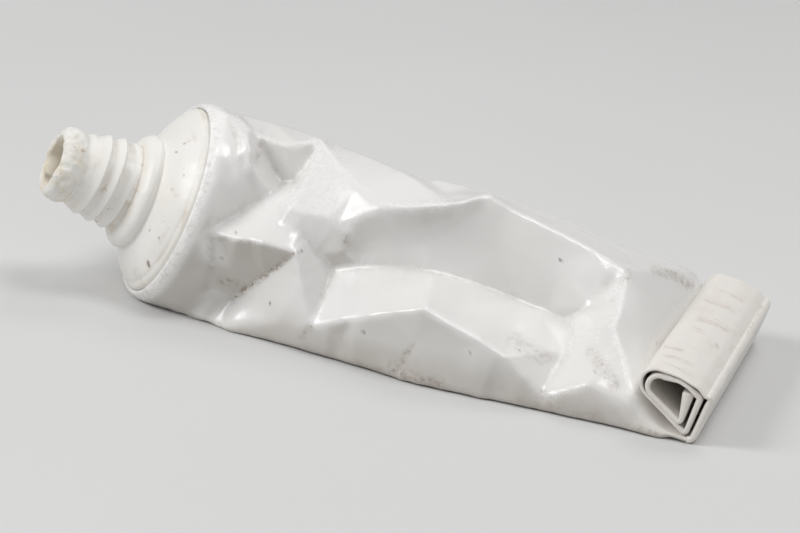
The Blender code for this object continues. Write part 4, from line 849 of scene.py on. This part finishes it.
def build_head():
    n = 300
    th = np.arange(n) * 360.0 / n
    rings = []
    kind = []

    def ring(a, r, k):
        rings.append((np.full(n, float(a)), np.broadcast_to(r, (n,)).astype(float)))
        kind.append(k)
    for a, r in curve_points(LIP_FINE, 0.17):
        ring(a, r, 0)
    for a in np.linspace(NECK_TOP - 0.1, NECK_END, 88):
        ring(a, neck_radius(np.full(n, a), th), 1)
    for a, r in curve_points([(7.9, 7.8)] + COLLAR_LINE[:9], 0.25)[1:]:
        ring(a, r, 2)
    for a, r in curve_points(COLLAR_LINE[8:], 0.24)[1:]:
        ring(a, r, 3)
    for a, r in INSIDE_LINE[:-1]:
        ring(a, r, 4)
    a = np.array([q[0] for q in rings])
    r = np.array([q[1] for q in rings])
    kind = np.array(kind)
    # parting line just inside the rim: a shallow groove that runs off centre, wider at the near side
    angle = np.radians(np.broadcast_to(th, a.shape))
    groove = np.exp(-((r - (16.75 + 0.35 * np.sin(angle + 0.5))) / 0.22) ** 2) * (kind == 3)[:, None]
    a = a - 0.16 * groove
    points = head_point(a, r, np.broadcast_to(th, a.shape))
    out_n = -grid_normals(points)
    # dried, crusty lip; small lumps on the neck
    crust = fade(a, 16.6, 18.4) * (kind < 2)[:, None]
    low_spots = np.clip(-0.25 - noise(points, 1.15, 61), 0, 1)
    lumps = (0.30 * fractal(points, 3.2, 51) + 0.12 * noise(points, 1.3, 52) - 0.30 * low_spots) * crust
    lumps = lumps + (0.05 * fractal(points, 2.4, 57) + 0.07 * noise(points, 7.0, 58)) * (kind < 4)[:, None] * fade(17.2 - r, 0.0, 1.0)
    points = points + lumps[..., None] * out_n
    m = len(rings)
    quads = [loop_faces(0, m, n)]
    last = np.stack([(m - 1) * n + np.arange(n), (m - 1) * n + (np.arange(n) + 1) % n, (np.arange(n) + 1) % n, np.arange(n)], -1)
    quads.append(last)
    flat = points.reshape(-1, 3)
    ob = make_object("head_skin", flat, np.vstack(quads), [])
    facing = toward_head(points, out_n)
    root = np.interp(a, [7.9, 8.6, 11.2, 14.0, 16.2, 17.4], [7.75, 7.6, 7.5, 7.25, 6.85, 6.3])
    groovy = fade(0.34 - (r - root), 0.0, 0.3) * (kind == 1)[:, None] + fade(a, 7.0, 8.0) * fade(8.7 - a, 0.0, 0.6) * (kind < 3)[:, None]
    dirt = np.maximum(np.clip(groovy, 0, 1), groove)
    patch = fractal(points, 6.0, 71)
    dirt = np.maximum(dirt * fade(patch, -0.6, 0.3), fade(17.25 - r, 0.35, 0.0) * (kind == 3)[:, None] * 0.6)
    bore = ((kind == 4)[:, None] * fade(6.0 - r, 0.0, 1.0) + (kind == 0)[:, None] * fade(4.85 - r, 0.0, 0.2))
    for key, val in (("crust", crust * fade(patch + 0.5, 0.0, 0.5)), ("dirt", dirt), ("bore", np.clip(bore, 0, 1)),
                     ("speck", marked(flat, "speck").reshape(a.shape) * facing),
                     ("stain", marked(flat, "stain").reshape(a.shape) * facing)):
        attribute(ob, key, np.clip(val, 0, 1).ravel())
    return ob, a, r, kind


# ------------------------------------------------------------------ materials
class Graph:
    """Small helper to lay out a material's nodes."""

    def __init__(self, name):
        self.mat = bpy.data.materials.new(name)
        self.mat.use_nodes = True
        self.nt = self.mat.node_tree
        self.shader = self.nt.nodes["Principled BSDF"]
        self.coord = self.nt.nodes.new("ShaderNodeTexCoord").outputs["Object"]

    def put(self, socket, value):
        if isinstance(value, bpy.types.NodeSocket):
            self.nt.links.new(value, socket)
        else:
            socket.default_value = value

    def attr(self, name):
        n = self.nt.nodes.new("ShaderNodeAttribute")
        n.attribute_name = name
        return n.outputs["Fac"]

    def stretch(self, scale, turn=(0, 0, 0)):
        n = self.nt.nodes.new("ShaderNodeMapping")
        n.inputs["Scale"].default_value = scale
        n.inputs["Rotation"].default_value = turn
        self.nt.links.new(self.coord, n.inputs["Vector"])
        return n.outputs["Vector"]

    def noise(self, scale, detail=3.0, rough=0.5, where=None, warp=0.0):
        n = self.nt.nodes.new("ShaderNodeTexNoise")
        n.inputs["Scale"].default_value = scale
        n.inputs["Detail"].default_value = detail
        n.inputs["Roughness"].default_value = rough
        n.inputs["Distortion"].default_value = warp
        self.nt.links.new(where or self.coord, n.inputs["Vector"])
        return n.outputs["Fac"]

    def cells(self, scale, feature="F1", out="Distance"):
        n = self.nt.nodes.new("ShaderNodeTexVoronoi")
        n.feature = feature
        n.inputs["Scale"].default_value = scale
        self.nt.links.new(self.coord, n.inputs["Vector"])
        return n.outputs[out]

    def ramp(self, value, lo, hi, out_lo=0.0, out_hi=1.0):
        n = self.nt.nodes.new("ShaderNodeMapRange")
        n.interpolation_type = "SMOOTHSTEP"
        for k, v in ((0, value), (1, lo), (2, hi), (3, out_lo), (4, out_hi)):
            self.put(n.inputs[k], v)
        return n.outputs[0]

    def math(self, kind, a, b=0.0):
        n = self.nt.nodes.new("ShaderNodeMath")
        n.operation = kind
        n.use_clamp = kind in ("ADD", "MULTIPLY")
        self.put(n.inputs[0], a)
        self.put(n.inputs[1], b)
        return n.outputs[0]

    def mix(self, fac, a, b):
        n = self.nt.nodes.new("ShaderNodeMix")
        n.data_type = "RGBA"
        self.put(n.inputs[0], fac)
        self.put(n.inputs[6], a)
        self.put(n.inputs[7], b)
        return n.outputs[2]

    def bump(self, height, distance, strength=1.0, below=None):
        n = self.nt.nodes.new("ShaderNodeBump")
        n.inputs["Distance"].default_value = distance
        self.put(n.inputs["Strength"], strength)
        self.put(n.inputs["Height"], height)
        if below is not None:
            self.nt.links.new(below, n.inputs["Normal"])
        return n.outputs["Normal"]


def film_material():
    g = Graph("printed_film")
    tint = g.noise(38, 3, 0.5)
    blotch = g.noise(190, 5, 0.62)
    grit = g.noise(2300, 4, 0.7)
    fleck = g.noise(1050, 6, 0.75)
    scuff, grime, tail = g.attr("scuff"), g.attr("grime"), g.attr("tail")
    col = g.mix(g.ramp(tint, 0.35, 0.65), (0.815, 0.807, 0.793, 1), (0.78, 0.768, 0.748, 1))
    # the rolled tail has gone warmer and duller
    col = g.mix(g.math("MULTIPLY", tail, 0.85), col, (0.80, 0.765, 0.715, 1))
    col = g.mix(g.math("MULTIPLY", tail, g.ramp(blotch, 0.45, 0.7, 0.0, 0.4)), col, (0.70, 0.645, 0.575, 1))
    # painted shade: greyer and darker on the down-facing walls and near the floor
    col = g.mix(g.math("MULTIPLY", g.attr("painted_underside_shade"), g.ramp(tint, 0.3, 0.7, 0.65, 0.85)), col, (0.50, 0.465, 0.42, 1))
    # faint overall soiling
    col = g.mix(g.math("MULTIPLY", g.ramp(fleck, 0.60, 0.74), g.ramp(blotch, 0.50, 0.66, 0.0, 0.30)), col, (0.52, 0.43, 0.32, 1))
    # worn ridges: broken white flecks
    worn = g.math("MULTIPLY", scuff, g.ramp(fleck, 0.44, 0.58))
    col = g.mix(g.math("MULTIPLY", worn, 0.5), col, (0.88, 0.875, 0.865, 1))
    # the band over the shoulder's rim has gone white and finely cracked
    crack = g.noise(620, 6, 0.8)
    band = g.math("MULTIPLY", g.attr("rim"), g.ramp(crack, 0.36, 0.46, 0.55, 1.0))
    col = g.mix(band, col, (0.95, 0.945, 0.93, 1))
    shade = g.math("MULTIPLY", scuff, g.ramp(grit, 0.54, 0.68, 0.0, 0.34))
    col = g.mix(shade, col, (0.50, 0.46, 0.40, 1))
    # brown grime caught in the folds
    soil = g.math("MULTIPLY", grime, g.ramp(fleck, 0.44, 0.62))
    soil = g.math("ADD", soil, g.math("MULTIPLY", grime, g.ramp(grit, 0.50, 0.60, 0.05, 0.35)))
    col = g.mix(g.math("MULTIPLY", soil, 0.85), col, (0.25, 0.18, 0.115, 1))
    # thin scratches and streaks on the tail
    hair = g.noise(260, 5, 0.75, where=g.stretch((1, 6.0, 6.0)), warp=0.8)
    streak = g.math("MULTIPLY", g.attr("streak"), g.ramp(hair, 0.45, 0.60, 0.05, 0.9))
    col = g.mix(g.math("MULTIPLY", streak, 0.6), col, (0.34, 0.22, 0.12, 1))
    lines = g.math("MULTIPLY", g.ramp(hair, 0.60, 0.68), g.math("MULTIPLY", tail, 0.5))
    col = g.mix(lines, col, (0.42, 0.32, 0.21, 1))
    # dark specks
    dots = g.math("MULTIPLY", g.ramp(g.cells(210), 0.085, 0.05), g.ramp(blotch, 0.57, 0.62))
    col = g.mix(g.math("MULTIPLY", g.math("ADD", dots, g.attr("speck")), 0.85), col, (0.10, 0.075, 0.055, 1))
    g.put(g.shader.inputs["Base Color"], col)
    rough = g.ramp(blotch, 0.35, 0.65, 0.17, 0.24)
    rough = g.math("ADD", rough, g.math("MULTIPLY", scuff, g.ramp(fleck, 0.42, 0.58, 0.05, 0.22)))
    rough = g.math("ADD", rough, g.math("MULTIPLY", tail, 0.16))
    rough = g.math("ADD", rough, g.math("MULTIPLY", soil, 0.35))
    g.put(g.shader.inputs["Roughness"], rough)
    g.shader.inputs["Specular IOR Level"].default_value = 0.6
    n = g.bump(g.noise(330, 4, 0.55), 0.00006, 0.35)
    n = g.bump(grit, 0.00006, 0.35, n)
    n = g.bump(g.math("MULTIPLY", g.ramp(fleck, 0.44, 0.60), scuff), 0.00004, 0.4, n)
    n = g.bump(g.noise(120, 5, 0.6, where=g.stretch((1, 3.0, 1), (0, 0, 0.3))), 0.0002, 0.2, n)
    g.put(g.shader.inputs["Normal"], n)
    return g.mat


def head_material():
    g = Graph("moulded_plastic")
    tint = g.noise(55, 3, 0.5)
    blotch = g.noise(260, 5, 0.65)
    grit = g.noise(1700, 4, 0.7)
    fleck = g.noise(700, 6, 0.75, warp=0.5)
    crust, dirt, bore, stain = g.attr("crust"), g.attr("dirt"), g.attr("bore"), g.attr("stain")
    col = g.mix(g.ramp(tint, 0.35, 0.65), (0.855, 0.845, 0.815, 1), (0.83, 0.81, 0.76, 1))
    col = g.mix(g.math("MULTIPLY", crust, g.ramp(blotch, 0.42, 0.62, 0.10, 0.75)), col, (0.76, 0.68, 0.52, 1))
    col = g.mix(g.math("MULTIPLY", crust, g.ramp(fleck, 0.58, 0.70, 0.0, 0.75)), col, (0.42, 0.30, 0.18, 1))
    col = g.mix(g.math("MULTIPLY", g.ramp(fleck, 0.58, 0.72), g.ramp(blotch, 0.50, 0.62, 0.04, 0.55)), col, (0.52, 0.40, 0.26, 1))
    col = g.mix(g.math("MULTIPLY", stain, g.ramp(fleck, 0.42, 0.60, 0.1, 0.8)), col, (0.42, 0.30, 0.18, 1))
    col = g.mix(g.math("MULTIPLY", dirt, g.ramp(blotch, 0.40, 0.66, 0.10, 0.48)), col, (0.56, 0.45, 0.30, 1))
    col = g.mix(g.math("MULTIPLY", dirt, g.ramp(fleck, 0.60, 0.70, 0.0, 0.7)), col, (0.26, 0.18, 0.11, 1))
    col = g.mix(g.math("MULTIPLY", bore, g.ramp(blotch, 0.35, 0.65, 0.55, 0.9)), col, (0.88, 0.80, 0.66, 1))
    dots = g.math("MULTIPLY", g.ramp(g.cells(260), 0.09, 0.05), g.ramp(blotch, 0.55, 0.60))
    col = g.mix(g.math("MULTIPLY", g.math("ADD", dots, g.attr("speck")), 0.85), col, (0.13, 0.085, 0.05, 1))
    g.put(g.shader.inputs["Base Color"], col)
    rough = g.math("ADD", g.ramp(blotch, 0.35, 0.65, 0.34, 0.46), g.math("MULTIPLY", crust, 0.25))
    g.put(g.shader.inputs["Roughness"], rough)
    n = g.bump(g.noise(420, 5, 0.6), 0.00015, 0.4)
    n = g.bump(grit, 0.00006, 0.3, n)
    n = g.bump(fleck, 0.00035, g.math("MULTIPLY", crust, 0.8), n)
    g.put(g.shader.inputs["Normal"], n)
    return g.mat


sleeve, sleeve_outer, sleeve_v = build_sleeve()
head, head_a, head_r, head_kind = build_head()
for ob, slot, mat in ((sleeve, "sleeve_film", film_material()), (head, "head_plastic", head_material())):
    ob.data.materials.append(mat)
    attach(ob, "root")
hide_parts("sleeve")
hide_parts("head")

# ------------------------------------------------------------------ floor, light, camera
me = bpy.data.meshes.new("floor")
me.from_pydata([(-3, -3, 0), (3, -3, 0), (3, 3, 0), (-3, 3, 0)], [], [(0, 1, 2, 3)])
floor = bpy.data.objects.new("floor", me)
bpy.context.scene.collection.objects.link(floor)
g = Graph("floor")
g.put(g.shader.inputs["Base Color"], g.mix(g.ramp(g.noise(6, 3), 0.3, 0.7), (0.66, 0.66, 0.655, 1), (0.64, 0.64, 0.635, 1)))
g.shader.inputs["Roughness"].default_value = 0.85
floor.data.materials.append(g.mat)

world = bpy.data.worlds.new("studio")
world.use_nodes = True
world.node_tree.nodes["Background"].inputs[0].default_value = (1.0, 1.0, 1.0, 1)
world.node_tree.nodes["Background"].inputs[1].default_value = 0.34
bpy.context.scene.world = world


def area(name, az, el, dist, size, power, colour=(1, 1, 1)):
    """A square soft light: az from -Y towards +X, el above the floor, aimed at the object."""
    a, e = math.radians(az), math.radians(el)
    at = Vector((math.sin(a) * math.cos(e), -math.cos(a) * math.cos(e), math.sin(e))) * dist
    d = bpy.data.lights.new(name, "AREA")
    d.shape, d.size, d.energy, d.color = "SQUARE", size, power, colour
    ob = bpy.data.objects.new(name, d)
    ob.location = at
    ob.rotation_euler = (-at).to_track_quat("-Z", "Y").to_euler()
    bpy.context.scene.collection.objects.link(ob)
    return ob


area("left", -60, 38, 0.9, 0.34, 3.5)
area("top", 75, 71, 0.9, 0.32, 2.4)
area("back", 165, 60, 0.9, 0.4, 1.1)
area("rim", 165, 28, 0.9, 0.9, 0.5)
area("front", 20, 42, 0.9, 0.5, 0.4)

cam = bpy.data.cameras.new("camera")
cam.lens, cam.sensor_width = 121.5, 36.0
cam.clip_start, cam.clip_end = 0.01, 20
camera = bpy.data.objects.new("camera", cam)
right, up, fwd = sheet_axes()
eye = (SHEET_EYE - np.array([ORIGIN[0], ORIGIN[1], 0])) * MM
camera.matrix_world = Matrix(((right[0], up[0], -fwd[0], eye[0]), (right[1], up[1], -fwd[1], eye[1]),
                              (right[2], up[2], -fwd[2], eye[2]), (0, 0, 0, 1)))
bpy.context.scene.collection.objects.link(camera)
bpy.context.scene.camera = camera
bpy.context.scene.view_settings.view_transform = "Standard"
